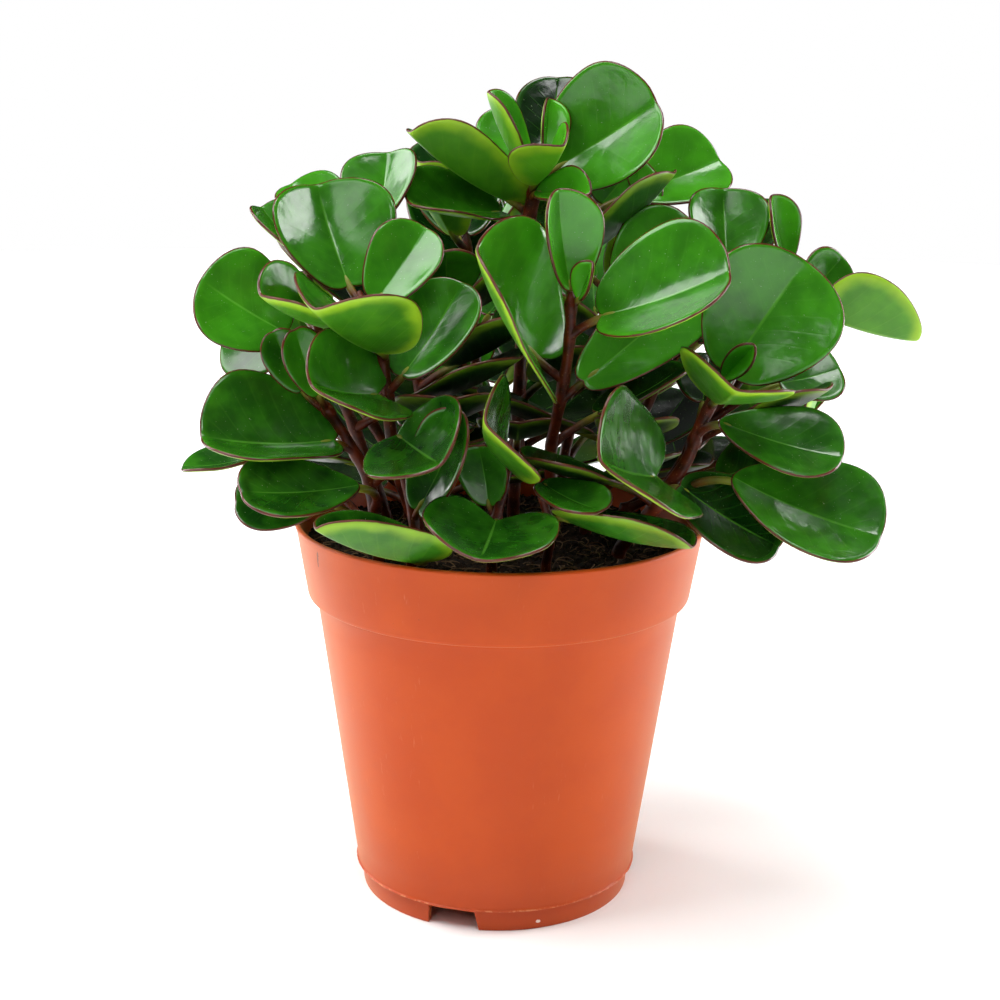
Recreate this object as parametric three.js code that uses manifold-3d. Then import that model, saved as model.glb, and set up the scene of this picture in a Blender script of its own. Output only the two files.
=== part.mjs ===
// A peperomia in a 12 cm plastic nursery pot.
// Units are millimetres and +Z is up. The pot stands on its foot ring at z = 0.
// Places in the tables are measured from the pot's axis. The finished group is then
// moved sideways, so that the middle of the whole plant's footprint is the origin.

import * as THREE from 'three';
import { mergeVertices } from 'three/addons/utils/BufferGeometryUtils.js';
import Module from 'manifold-3d';

const wasm = await Module();
wasm.setup();

// Driving dimensions of the pot
const RIM_RADIUS = 60;
const POT_HEIGHT = 112.5;
const WALL = 1.2;
const BAND_FOOT_Z = 91;          // lower edge of the rim band
const BAND_FOOT_RADIUS = 56.3;
const WALL_TOP_RADIUS = 53.7;    // wall just under the band
const FOOT_TOP_Z = 6.9;          // parting ridge above the foot ring
const WALL_FOOT_RADIUS = 42;
const RIDGE = 0.5;               // how far the parting ridge stands out
const FOOT_RADIUS = 40.3;
const FOOT_RING = 2.2;           // thickness of the foot ring
const FLOOR_UNDERSIDE_Z = 3.8;
const FLOOR_TOP_Z = 6.2;
const POT_SIDES = 32;
const NOTCH_WIDTH = 16;
const NOTCH_HEIGHT = 6;
const NOTCH_COUNT = 3;
const FIRST_NOTCH_DEGREES = -107;
const DRAIN_RADIUS = 2.5;
const DRAIN_CIRCLE = 27;

// Driving dimensions of the soil
const SOIL_Z = 106;
const SOIL_GAP = 0.3;            // clearance to the pot and to the stems
const SOIL_SIDES = 18;
const SOIL_RELIEF = 1.1;         // height of the soft mounds on its surface
const ROOT_DEPTH = 12;           // how deep the stems stand in the soil

// Driving dimensions of the plant
const BLADE_THICKNESS = 1.0;
const BLADE_STATIONS = 6;        // steps from the petiole to the tip
const BLADE_LANES = 4;           // strips from edge to edge
const SMALL_BLADE_LENGTH = 35;   // blades shorter than this, and hidden ones, are plainer
const PLAIN_BLADE_STATIONS = 4;
const PLAIN_BLADE_LANES = 2;
const BLADE_BEND = 0.06;         // soft bend along the midrib, as a share of the width
const PETIOLE_RADIUS = 1.25;
const PETIOLE_SIDES = 3;
const PETIOLE_STEPS = 2;
const PETIOLE_TIP_RADIUS = 0.3;  // where it ends inside the blade
const PETIOLE_REACH = 0.1;       // how far it runs in under the blade, as a share of its length
const FILL_REACH = 13;           // petiole's reach of the leaves that fill in lower down
const FILL_LIFT = 5;
const FILL_RISE = 8;             // degrees, at the soil
const FILL_RISE_PER_MM = 0.45;
const FILL_WIDTH = 0.8;          // as a share of the length
const STEM_SIDES = 6;
const STEM_TOP_SHARE = 0.72;     // radius at the growing tip as a share of the foot's

// Blade forms: fold of each half and share of cup, curl, basal lobes and egg shape
const FORMS = {
  open: { fold: 12, cup: 0.05, curl: 0.05, lobe: 0.05, egg: 0.25 },
  paddle: { fold: 12, cup: 0.04, curl: 0.05, lobe: 0, egg: 0.40 },
  spoon: { fold: 24, cup: 0.05, curl: 0.05, lobe: 0.08, egg: 0.25 },
  boat: { fold: 29, cup: 0.08, curl: 0.06, lobe: 0.10, egg: 0.25 },
  heart: { fold: 28, cup: 0.04, curl: 0.05, lobe: 0.30, egg: 0.15 },
  lobed: { fold: 14, cup: 0.06, curl: 0.05, lobe: 0.30, egg: 0 },
  shell: { fold: 42, cup: 0.06, curl: 0.05, lobe: 0.20, egg: -0.20 },
  young: { fold: 36, cup: 0.10, curl: 0.05, lobe: 0, egg: 0.25 },
  drawn: { fold: 38, cup: 0.02, curl: 0.05, lobe: 0, egg: -0.30 },
};

// Each leafy stem: its radius, its way up from the soil, and its leaves as
// [blade base], [blade tip], width, [azimuth and height that the upper side faces], form
const STEMS = {
  shoot_left: {
    radius: 2.1,
    path: [[-22, -18], [-28, -25, 130], [-30, -30, 142], [-31, -33, 155], [-34, -32, 170], [-39, -27, 182]],
    leaves: [
      [[-42, -24, 183], [-52, -12, 210], 38, [-70, 30], 'spoon'],
      [[-34, -30, 180], [-21, -20, 199], 22, [-90, 30], 'spoon'],
      [[-31, -36, 167], [-48, -60, 182], 42, [45, 62], 'boat'],
      [[-42, -29, 172], [-63, -50, 184], 28, [-24, 60], 'boat'],
      [[-33, -40, 156], [-49, -64, 163], 33, [-20, 42], 'heart'],
      [[-27, -34, 160], [-11, -18, 184], 24, [-105, 40], 'open'],
    ],
  },
  shoot_left_back: {
    radius: 1.9,
    path: [[-32, -4], [-42, -7, 140], [-50, -9, 160], [-55, -6, 184]],
    leaves: [
      [[-60, -18, 169], [-83, -22, 184], 32, [-65, 30], 'open'],
      [[-55, -5, 189], [-70, 6, 202], 21, [-60, 57], 'boat'],
      [[-61, -14, 163], [-80, -8, 163], 18, [-110, 20], 'open'],
      [[-58, 2, 172], [-74, 20, 176], 26, [-60, 70], 'open'],
    ],
    fill: [[0.62, 340, 42], [0.54, 320, 26]],
  },
  shoot_upper_left: {
    radius: 1.9,
    path: [[-17, 4], [-24, 6, 150], [-32, 5, 180], [-38, 3, 197]],
    leaves: [
      [[-46, 0, 200], [-62, 12, 208], 22, [-90, 60], 'open'],
      [[-36, 6, 199], [-34, 20, 217], 26, [-115, 40], 'spoon'],
      [[-16, 6, 176], [-16, -10, 192], 20, [-80, 10], 'open'],
      [[-42, 16, 184], [-52, 34, 194], 28, [-90, 70], 'spoon'],
    ],
    fill: [[0.7, 140, 42], [0.62, 320, 36], [0.46, -20, 30], [0.54, 280, 36], [0.7, 340, 42]],
  },
  shoot_top: {
    radius: 2.1,
    path: [[4, 12], [5, 13, 140], [6, 14, 175], [8, 14, 203], [12, 14, 213]],
    leaves: [
      [[15, 22, 213], [44, 12, 233], 40, [-120, 14], 'spoon'],
      [[39, 30, 206], [66, 44, 215], 30, [-75, 40], 'spoon'],
      [[29, 30, 202], [41, 34, 216], 26, [-85, 15], 'open'],
      [[8, 12, 210], [-5, 6, 235], 16, [-15, 25], 'young'],
      [[8, 10, 209], [16, -8, 221], 24, [155, 50], 'young'],
      [[12, 14, 214], [13, 20, 233], 13, [-50, 12], 'young'],
      [[4, 20, 203], [-27, 4, 224], 29, [50, 54], 'boat'],
      [[-1, 22, 200], [-28, 4, 204], 30, [-45, 62], 'spoon'],
      [[9, 10, 207], [24, -8, 208], 15, [-143, 40], 'young'],
      [[5, 36, 212], [-2, 46, 230], 20, [-94, 25], 'open'],
    ],
    fill: [
      [0.46, 160, 42], [0.46, 20, 42], [0.54, 80, 36],
      [0.54, 300, 30], [0.46, 270, 30], [0.7, 60, 30],
      [0.94, 80, 30], [0.7, 340, 42],
    ],
  },
  shoot_centre: {
    radius: 1.9,
    path: [[12, -12], [14, -16, 122], [14, -22, 138], [16, -30, 153], [18, -36, 171], [18, -37, 184]],
    leaves: [
      [[9, -34, 166], [-7, -56, 198], 46, [-20, 13], 'heart'],
      [[18, -36, 184], [14, -38, 211], 22, [-60, 1], 'young'],
      [[20, -38, 182], [23, -46, 193], 9, [-140, -14], 'young'],
      [[26, -40, 178], [59, -52, 192], 39, [-130, 40], 'spoon'],
      [[22, -32, 159], [62, -14, 190], 24, [-86, 26], 'open'],
    ],
    fill: [[0.62, 20, 30]],
  },
  shoot_right: {
    radius: 2.2,
    path: [[34, -22], [40, -26, 118], [46, -30, 129], [51, -31, 137], [54, -31, 146], [60, -30, 159]],
    leaves: [
      [[62, -26, 161], [82, -24, 192], 40, [-93, 5], 'open'],
      [[58, -34, 155], [60, -63, 163], 35, [35, 64], 'spoon'],
      [[60, -31, 160], [67, -40, 171], 9, [-128, -19], 'young'],
      [[59, -34, 149], [92, -42, 141], 26, [-86, 53], 'paddle'],
      [[63, -36, 134], [103, -46, 120], 39, [-75, 54], 'paddle'],
      [[49, -34, 131], [77, -40, 115], 28, [-68, 45], 'open'],
      [[42, -42, 135], [25, -72, 146], 44, [-22, 36], 'heart'],
    ],
    fill: [[0.54, 200, 30], [0.86, 80, 24]],
  },
  shoot_right_back: {
    radius: 1.9,
    path: [[26, 10], [36, 6, 130], [42, 2, 145], [50, 4, 165], [60, 6, 182]],
    leaves: [
      [[65, 10, 187], [64, 20, 208], 27, [-80, 26], 'spoon'],
      [[34, -6, 178], [52, -2, 202], 27, [-102, 30], 'open'],
      [[62, 20, 176], [70, 42, 186], 28, [-90, 70], 'spoon'],
    ],
    fill: [
      [0.54, 200, 36], [0.78, 40, 42], [0.46, 60, 42],
      [0.46, 280, 30], [0.78, 200, 36], [0.54, 270, 30],
      [0.94, 60, 36],
    ],
  },
  shoot_far_right: {
    radius: 1.9,
    path: [[42, 2], [52, -4, 130], [60, -6, 145], [72, -3, 160], [82, 3, 174]],
    leaves: [
      [[90, 4, 175], [122, 8, 166], 34, [78, 51], 'drawn'],
      [[86, 2, 176], [98, 8, 190], 18, [-72, 5], 'open'],
      [[83, 14, 186], [77, 10, 207], 14, [-55, 1], 'young'],
      [[79, -8, 155], [97, -4, 159], 22, [-90, 46], 'open'],
      [[62, -12, 128], [80, -14, 136], 26, [-124, 60], 'open'],
    ],
    fill: [[0.62, 320, 30]],
  },
  shoot_lower_left: {
    radius: 2.0,
    path: [[-34, -24], [-37, -22, 128], [-43, -22, 140], [-50, -26, 152]],
    leaves: [
      [[-46, -24, 140], [-82, -36, 143], 40, [-62, 56], 'boat'],
      [[-69, -8, 132], [-92, -8, 128], 20, [-136, 78], 'open'],
      [[-38, -40, 131], [-69, -54, 132], 24, [-70, 57], 'paddle'],
      [[-50, -34, 125], [-73, -36, 125], 20, [-90, 40], 'open'],
      [[-55, -24, 154], [-63, -26, 171], 13, [-76, 5], 'open'],
      [[-50, -30, 154], [-56, -35, 173], 13, [-63, 0], 'open'],
    ],
    fill: [[0.62, 0, 24]],
  },
  shoot_front_left: {
    radius: 1.7,
    path: [[-24, -38], [-23, -40, 118], [-26, -39, 134], [-28, -38, 143]],
    leaves: [
      [[-20, -50, 113], [-48, -66, 126], 27, [62, 84], 'shell'],
      [[-28, -39, 145], [-15, -63, 142], 34, [-153, 52], 'spoon'],
      [[-22, -42, 125], [-10, -52, 154], 20, [-122, 16], 'spoon'],
    ],
  },
  shoot_front: {
    radius: 1.7,
    path: [[-2, -37], [-1, -41, 122], [1, -40, 131], [2, -37, 138]],
    leaves: [
      [[-1, -53, 125], [-5, -75, 120], 37, [-76, 72], 'lobed'],
      [[1, -40, 139], [-4, -64, 154], 34, [2, 19], 'boat'],
      [[-3, -40, 126], [-6, -44, 144], 15, [-104, -10], 'open'],
    ],
  },
  shoot_front_right: {
    radius: 1.6,
    path: [[13, -36], [14, -38, 118], [11, -39, 130]],
    leaves: [
      [[11, -42, 133], [27, -58, 129], 18, [-90, 74], 'open'],
      [[16, -40, 124], [51, -58, 120], 27, [49, 78], 'spoon'],
    ],
  },
};

const radians = (degrees) => degrees * Math.PI / 180;
const point = (place) => new THREE.Vector3(...place);

// The shoots on the far side all follow one rule: their foot in the soil, their growing
// tip, the azimuth that they lean to, and the leaves that fill in lower down.
// Leaves stand steeply at the tip and flatter below.
const FAR_SHOOTS = {
  shoot_back_left: {
    foot: [-28, 24],
    top: [-62, 48, 158],
    lean: 142,
    fill: [
      [0.54, 200, 42], [0.54, 120, 42], [0.62, 60, 36],
      [0.78, 40, 30], [0.38, 140, 30],
    ],
  },
  shoot_back_middle: {
    foot: [-6, 34],
    top: [-12, 50, 192],
    lean: 118,
    fill: [
      [0.54, 40, 42], [0.7, 200, 30], [0.46, 220, 30],
      [0.86, 100, 42], [0.94, 100, 42],
    ],
  },
  shoot_back_right: {
    foot: [18, 30],
    top: [36, 52, 178],
    lean: 50,
    fill: [
      [0.54, 60, 42], [0.62, 200, 30], [0.46, 340, 36],
      [0.78, 300, 36], [0.7, 80, 24],
    ],
  },
  shoot_back_low: {
    foot: [2, 46],
    top: [-6, 84, 140],
    lean: 96,
    fill: [[0.46, 20, 42], [0.7, 140, 42], [0.86, 80, 24]],
  },
  shoot_back_side: {
    foot: [38, 22],
    top: [88, 32, 130],
    lean: 2,
    fill: [[0.54, 320, 36], [0.54, 40, 36], [0.7, 90, 36]],
  },
};

// One leaf of that rule: share of the stem's height, azimuth from the lean, petiole's
// reach, rise of the blade, its length, width and form
const FAR_LEAVES = [
  [1.00, 10, 4, 72, 23, 15, 'young'],
  [0.96, 118, 7, 54, 28, 23, 'spoon'],
  [0.92, -112, 8, 50, 31, 25, 'spoon'],
  [0.76, 40, 13, 32, 36, 29, 'open'],
  [0.62, -44, 14, 20, 35, 28, 'paddle'],
];

// The row of a leaf that points away from its stem and whose upper side faces back to it
function leafAt(base, azimuth, rise, length, width, form) {
  const flat = length * Math.cos(radians(rise));
  const tip = [
    base[0] + flat * Math.cos(radians(azimuth)),
    base[1] + flat * Math.sin(radians(azimuth)),
    base[2] + length * Math.sin(radians(rise)),
  ];
  return [base, tip, width, [azimuth + 180, 90 - rise], form];
}

// Leaves that fill in the lower plant, each as share of the stem, azimuth and length.
// The lower a leaf grows, the flatter it lies.
function fillLeaf(curve, [share, azimuth, length]) {
  const from = curve.getPoint(share);
  const rise = FILL_RISE + FILL_RISE_PER_MM * (from.z - SOIL_Z);
  const base = [
    from.x + FILL_REACH * Math.cos(radians(azimuth)),
    from.y + FILL_REACH * Math.sin(radians(azimuth)),
    from.z + FILL_LIFT,
  ];
  return leafAt(base, azimuth, rise, length, FILL_WIDTH * length, 'open');
}

function farShoot({ foot, top, lean, fill }) {
  const way = (share) => [
    foot[0] + (top[0] - foot[0]) * share ** 1.7,
    foot[1] + (top[1] - foot[1]) * share ** 1.7,
    SOIL_Z + (top[2] - SOIL_Z) * share,
  ];
  const leaves = FAR_LEAVES.map(([share, turn, reach, rise, length, width, form]) => {
    const [x, y, z] = way(share);
    const azimuth = lean + turn;
    const out = [Math.cos(radians(azimuth)), Math.sin(radians(azimuth))];
    const base = [x + out[0] * reach, y + out[1] * reach, z + 0.4 * reach];
    return leafAt(base, azimuth, rise, length, width, form);
  });
  return { radius: 1.9, plain: true, path: [foot, way(0.35), way(0.7), way(1)], leaves, fill };
}

for (const [name, row] of Object.entries(FAR_SHOOTS)) {
  STEMS[name] = farShoot(row);
}

// A closed surface from rows of points: each row is a ring, and the two ends are capped
function loft(rings) {
  const sides = rings[0].length;
  const places = rings.flat().flatMap((p) => p.toArray());
  const faces = [];
  for (let r = 0; r < rings.length - 1; r += 1) {
    for (let s = 0; s < sides; s += 1) {
      const a = r * sides + s;
      const b = r * sides + (s + 1) % sides;
      faces.push(a, b, b + sides, a, b + sides, a + sides);
    }
  }
  const last = (rings.length - 1) * sides;
  for (let s = 1; s < sides - 1; s += 1) {
    faces.push(0, s + 1, s, last, last + s, last + s + 1);
  }
  const geometry = new THREE.BufferGeometry();
  geometry.setAttribute('position', new THREE.Float32BufferAttribute(places, 3));
  geometry.setIndex(faces);
  return geometry;
}

// A solid rod along a curve, whose radius runs evenly from one end to the other
function rod(curve, steps, sides, startRadius, endRadius, tipRadius = endRadius) {
  const frames = curve.computeFrenetFrames(steps, false);
  const rings = [];
  for (let i = 0; i <= steps; i += 1) {
    const share = i / steps;
    const radius = i === steps ? tipRadius : startRadius + (endRadius - startRadius) * share;
    const centre = curve.getPointAt(share);
    const ring = [];
    for (let s = 0; s < sides; s += 1) {
      const turn = 2 * Math.PI * s / sides;
      const out = frames.normals[i].clone().multiplyScalar(Math.cos(turn) * radius);
      out.addScaledVector(frames.binormals[i], Math.sin(turn) * radius);
      ring.push(out.add(centre));
    }
    rings.push(ring);
  }
  return loft(rings);
}

// The middle surface of a blade at a share u of its length and v from edge to edge
function bladePoint(leaf, u, v) {
  const turn = Math.acos(1 - 2 * u);
  const half = leaf.width / 2 * Math.sin(turn) * (1 - leaf.egg * Math.cos(turn)) / leaf.widest;
  const sweep = Math.sin(turn) * (1 - u) ** 3 / 0.443;
  const across = half * v;
  const bend = BLADE_BEND * leaf.width;
  const rise = Math.sin(leaf.fold) * (Math.hypot(across, bend) - bend)
    + leaf.cup * leaf.width * (2 * across / leaf.width) ** 2
    - leaf.curl * leaf.length * 4 * u * (1 - u);
  const inward = Math.cos(leaf.fold * Math.min(1, Math.abs(across) / (bend / 2)));
  const place = leaf.base.clone();
  place.addScaledVector(leaf.along, leaf.length * (u - leaf.lobe * sweep * v * v));
  place.addScaledVector(leaf.side, across * inward);
  return place.addScaledVector(leaf.up, rise);
}

// A blade's own frame and form, from its row in the table
function readLeaf([base, tip, width, [azimuth, height], form], plain) {
  const leaf = { ...FORMS[form], width, plain, base: point(base) };
  leaf.fold = radians(leaf.fold);
  leaf.along = point(tip).sub(leaf.base);
  leaf.length = leaf.along.length();
  leaf.along.normalize();
  const faces = new THREE.Vector3(1, 0, 0).applyEuler(
    new THREE.Euler(0, -radians(height), radians(azimuth), 'ZYX'));
  leaf.up = faces.addScaledVector(leaf.along, -faces.dot(leaf.along)).normalize();
  leaf.side = new THREE.Vector3().crossVectors(leaf.up, leaf.along);
  leaf.widest = 0;
  for (let turn = 0; turn < Math.PI; turn += 0.01) {
    leaf.widest = Math.max(leaf.widest, Math.sin(turn) * (1 - leaf.egg * Math.cos(turn)));
  }
  return leaf;
}

// A blade as a closed shell: the same grid of triangles above and below the middle surface
function blade(leaf) {
  const plain = leaf.plain || leaf.length < SMALL_BLADE_LENGTH;
  const stations = plain ? PLAIN_BLADE_STATIONS : BLADE_STATIONS;
  const lanes = plain ? PLAIN_BLADE_LANES : BLADE_LANES;
  const small = 0.02;
  const places = [];
  const index = new Map();
  const faces = [];
  const vertex = (station, lane, side) => {
    const end = station === 0 || station === stations;
    const key = `${station},${end ? 0 : lane},${side}`;
    if (!index.has(key)) {
      const u = (1 - Math.cos(Math.PI * station / stations)) / 2;
      const v = end ? 0 : 2 * lane / lanes - 1;
      const here = bladePoint(leaf, u, v);
      const ahead = bladePoint(leaf, Math.min(1, u + small), v);
      const behind = bladePoint(leaf, Math.max(0, u - small), v);
      const inner = Math.min(1 - small, Math.max(small, u));
      const left = bladePoint(leaf, inner, v + small);
      const right = bladePoint(leaf, inner, v - small);
      const normal = ahead.sub(behind).cross(left.sub(right)).normalize();
      here.addScaledVector(normal, side * BLADE_THICKNESS / 2);
      index.set(key, places.length / 3);
      places.push(here.x, here.y, here.z);
    }
    return index.get(key);
  };
  const triangle = (a, b, c) => {
    if (a !== b && b !== c && c !== a) {
      faces.push(a, b, c);
    }
  };
  for (let i = 0; i < stations; i += 1) {
    for (let j = 0; j < lanes; j += 1) {
      for (const side of [1, -1]) {
        const a = vertex(i, j, side);
        const b = vertex(i, j + 1, side);
        const c = vertex(i + 1, j + 1, side);
        const d = vertex(i + 1, j, side);
        if (side > 0) {
          triangle(a, c, b);
          triangle(a, d, c);
        } else {
          triangle(a, b, c);
          triangle(a, c, d);
        }
      }
    }
    for (const lane of [0, lanes]) {
      const a = vertex(i, lane, 1);
      const b = vertex(i, lane, -1);
      const c = vertex(i + 1, lane, -1);
      const d = vertex(i + 1, lane, 1);
      if (lane > 0) {
        triangle(a, c, b);
        triangle(a, d, c);
      } else {
        triangle(a, b, c);
        triangle(a, c, d);
      }
    }
  }
  const geometry = new THREE.BufferGeometry();
  geometry.setAttribute('position', new THREE.Float32BufferAttribute(places, 3));
  geometry.setIndex(faces);
  return geometry;
}

// The stem's middle line: straight up out of the soil, then along its points
function stemCurve(stem) {
  const [x, y] = stem.path[0];
  const foot = [[x, y, SOIL_Z - ROOT_DEPTH], [x, y, SOIL_Z - 2], [x, y, SOIL_Z + 3]];
  return new THREE.CatmullRomCurve3([...foot, ...stem.path.slice(1)].map(point), false, 'centripetal');
}

// A petiole leaves the stem below its blade, bows outwards and runs in under the midrib
function petioleCurve(curve, leaf) {
  const end = bladePoint(leaf, PETIOLE_REACH, 0).addScaledVector(leaf.up, -0.1);
  let start = curve.getPoint(0);
  let best = Infinity;
  for (let i = 0; i <= 60; i += 1) {
    const place = curve.getPoint(i / 60);
    const aside = Math.hypot(place.x - leaf.base.x, place.y - leaf.base.y);
    const miss = Math.abs(leaf.base.z - 0.5 * aside - 2 - place.z) + (place.z < SOIL_Z + 4 ? 100 : 0);
    if (miss < best) {
      best = miss;
      start = place;
    }
  }
  const middle = leaf.base.clone().addScaledVector(leaf.along, -0.35 * start.distanceTo(leaf.base));
  return new THREE.QuadraticBezierCurve3(start, middle, end);
}

// Makes a mesh solid, with shared corners merged and its faces turned outwards
function solid(geometry) {
  geometry.deleteAttribute('normal');
  geometry.deleteAttribute('uv');
  const merged = mergeVertices(geometry, 1e-4);
  const vertProperties = new Float32Array(merged.attributes.position.array);
  const triVerts = new Uint32Array(merged.index.array);
  const body = new wasm.Manifold(new wasm.Mesh({ numProp: 3, vertProperties, triVerts }));
  if (body.volume() > 0) {
    return body;
  }
  for (let i = 0; i < triVerts.length; i += 3) {
    [triVerts[i], triVerts[i + 1]] = [triVerts[i + 1], triVerts[i]];
  }
  return new wasm.Manifold(new wasm.Mesh({ numProp: 3, vertProperties, triVerts }));
}

function meshOf(name, body, material) {
  const { vertProperties, triVerts } = body.getMesh();
  const geometry = new THREE.BufferGeometry();
  geometry.setAttribute('position', new THREE.Float32BufferAttribute(vertProperties, 3));
  geometry.setIndex(Array.from(triVerts));
  geometry.computeVertexNormals();
  const mesh = new THREE.Mesh(geometry, material);
  mesh.name = name;
  return mesh;
}

// The pot's half section, from the middle of its floor round the outside and back inside
function potProfile() {
  const bandIn = BAND_FOOT_RADIUS - WALL;
  const ridgeTop = FOOT_TOP_Z + 0.4;
  return [
    [0, FLOOR_UNDERSIDE_Z],
    [FOOT_RADIUS - FOOT_RING, FLOOR_UNDERSIDE_Z],
    [FOOT_RADIUS - FOOT_RING, 0],
    [FOOT_RADIUS, 0],
    [FOOT_RADIUS + 0.5, FOOT_TOP_Z - 0.3],
    [WALL_FOOT_RADIUS + RIDGE, FOOT_TOP_Z],
    [WALL_FOOT_RADIUS + RIDGE, ridgeTop],
    [WALL_FOOT_RADIUS, ridgeTop + 0.3],
    [WALL_TOP_RADIUS, BAND_FOOT_Z - 1.2],
    [BAND_FOOT_RADIUS - 0.9, BAND_FOOT_Z - 0.5],
    [BAND_FOOT_RADIUS, BAND_FOOT_Z + 0.6],
    [RIM_RADIUS - 0.5, POT_HEIGHT - 2.4],
    [RIM_RADIUS, POT_HEIGHT - 1.6],
    [RIM_RADIUS - 0.3, POT_HEIGHT - 0.2],
    [RIM_RADIUS - WALL / 2, POT_HEIGHT],
    [RIM_RADIUS - WALL - 0.3, POT_HEIGHT - 0.4],
    [bandIn, BAND_FOOT_Z + 0.2],
    [WALL_TOP_RADIUS - WALL, BAND_FOOT_Z - 2],
    [WALL_FOOT_RADIUS - WALL, FOOT_TOP_Z + 1.6],
    [WALL_FOOT_RADIUS - WALL - 2, FLOOR_TOP_Z],
    [0, FLOOR_TOP_Z],
  ];
}

function lathe(profile, sides) {
  const geometry = new THREE.LatheGeometry(profile.map(([r, z]) => new THREE.Vector2(r, z)), sides);
  return geometry.rotateX(Math.PI / 2);
}

// A drainage notch is a trapezoid cut through the foot ring from below
function notchCutter(azimuth) {
  const half = NOTCH_WIDTH / 2;
  const outline = new THREE.Shape([
    new THREE.Vector2(-half, -2),
    new THREE.Vector2(half, -2),
    new THREE.Vector2(half - 1.6, NOTCH_HEIGHT),
    new THREE.Vector2(-half + 0.5, NOTCH_HEIGHT),
  ]);
  const geometry = new THREE.ExtrudeGeometry(outline, { depth: 6, bevelEnabled: false });
  geometry.rotateX(Math.PI / 2);
  geometry.translate(0, -FOOT_RADIUS + FOOT_RING + 0.8, 0);
  return geometry.rotateZ(radians(azimuth + 90));
}

function drainCutter(azimuth) {
  const geometry = new THREE.CylinderGeometry(DRAIN_RADIUS, DRAIN_RADIUS, 8, 10);
  geometry.rotateX(Math.PI / 2);
  const out = radians(azimuth);
  return geometry.translate(DRAIN_CIRCLE * Math.cos(out), DRAIN_CIRCLE * Math.sin(out), FLOOR_TOP_Z - 1);
}

function makePot() {
  let body = solid(lathe(potProfile(), POT_SIDES));
  for (let i = 0; i < NOTCH_COUNT; i += 1) {
    const azimuth = FIRST_NOTCH_DEGREES + i * 360 / NOTCH_COUNT;
    body = body.subtract(solid(notchCutter(azimuth)));
    body = body.subtract(solid(drainCutter(azimuth)));
  }
  return body;
}

// The soil fills the pot to just under the band's top, with soft mounds on its surface
function makeSoil() {
  const wallAt = (z) => {
    const share = (z - FOOT_TOP_Z) / (BAND_FOOT_Z - FOOT_TOP_Z);
    return WALL_FOOT_RADIUS + (WALL_TOP_RADIUS - WALL_FOOT_RADIUS) * share - WALL - 2 * SOIL_GAP;
  };
  const bandShare = (SOIL_Z - BAND_FOOT_Z) / (POT_HEIGHT - BAND_FOOT_Z);
  const topRadius = BAND_FOOT_RADIUS + (RIM_RADIUS - BAND_FOOT_RADIUS) * bandShare - WALL - 1;
  const profile = [
    [0, FLOOR_TOP_Z + SOIL_GAP],
    [WALL_FOOT_RADIUS - WALL - 3, FLOOR_TOP_Z + SOIL_GAP],
    [wallAt(10), 10],
    [wallAt(BAND_FOOT_Z - 3), BAND_FOOT_Z - 3],
    [BAND_FOOT_RADIUS - WALL - 0.8, BAND_FOOT_Z + 1],
    [topRadius, SOIL_Z],
    [topRadius * 0.7, SOIL_Z],
    [topRadius * 0.35, SOIL_Z],
    [0, SOIL_Z],
  ];
  const geometry = lathe(profile, SOIL_SIDES);
  const places = geometry.attributes.position;
  for (let i = 0; i < places.count; i += 1) {
    const [x, y, z] = [places.getX(i), places.getY(i), places.getZ(i)];
    const inside = 1 - Math.hypot(x, y) / topRadius;
    if (z > SOIL_Z - 0.5 && inside > 0.01) {
      const mound = Math.sin(0.13 * x + 0.6) * Math.cos(0.11 * y - 0.4) + 0.5 * Math.sin(0.21 * (x + y));
      places.setZ(i, z + SOIL_RELIEF * mound * Math.min(1, 3 * inside));
    }
  }
  let body = solid(geometry);
  for (const stem of Object.values(STEMS)) {
    const hole = new THREE.CylinderGeometry(stem.radius + 1, stem.radius + 1, ROOT_DEPTH + 6, 6);
    hole.rotateX(Math.PI / 2);
    const [x, y] = stem.path[0];
    hole.translate(x, y, SOIL_Z - SOIL_GAP + 3 - ROOT_DEPTH / 2);
    body = body.subtract(solid(hole));
  }
  return body;
}

// A leafy stem with its petioles and blades grown together into one body
function makeShoot(stem) {
  const curve = stemCurve(stem);
  const steps = stem.path.length + 1;
  let body = solid(rod(curve, steps, STEM_SIDES, stem.radius, stem.radius * STEM_TOP_SHARE));
  const fill = (stem.fill ?? []).map((row) => readLeaf(fillLeaf(curve, row), true));
  const leaves = stem.leaves.map((row) => readLeaf(row, stem.plain));
  for (const leaf of [...leaves, ...fill]) {
    const radius = PETIOLE_RADIUS * Math.min(1, 0.6 + leaf.length / 80);
    const petiole = rod(petioleCurve(curve, leaf), PETIOLE_STEPS, PETIOLE_SIDES,
      1.15 * radius, 0.8 * radius, PETIOLE_TIP_RADIUS);
    body = body.add(solid(petiole)).add(solid(blade(leaf)));
  }
  return body;
}

const plastic = new THREE.MeshStandardMaterial({ color: 0xc8543a, roughness: 0.45, metalness: 0 });
const peat = new THREE.MeshStandardMaterial({ color: 0x2b1d13, roughness: 0.95, metalness: 0 });
const leafGreen = new THREE.MeshStandardMaterial({ color: 0x1f5a22, roughness: 0.3, metalness: 0 });

const plant = new THREE.Group();
plant.add(meshOf('pot', makePot(), plastic));
plant.add(meshOf('soil', makeSoil(), peat));
for (const [name, stem] of Object.entries(STEMS)) {
  plant.add(meshOf(name, makeShoot(stem), leafGreen));
}

// The origin is on the ground under the middle of the footprint
const footprint = new THREE.Box3().setFromObject(plant);
const middle = footprint.getCenter(new THREE.Vector3());
plant.position.set(-middle.x, -middle.y, 0);

export default plant;
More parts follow.
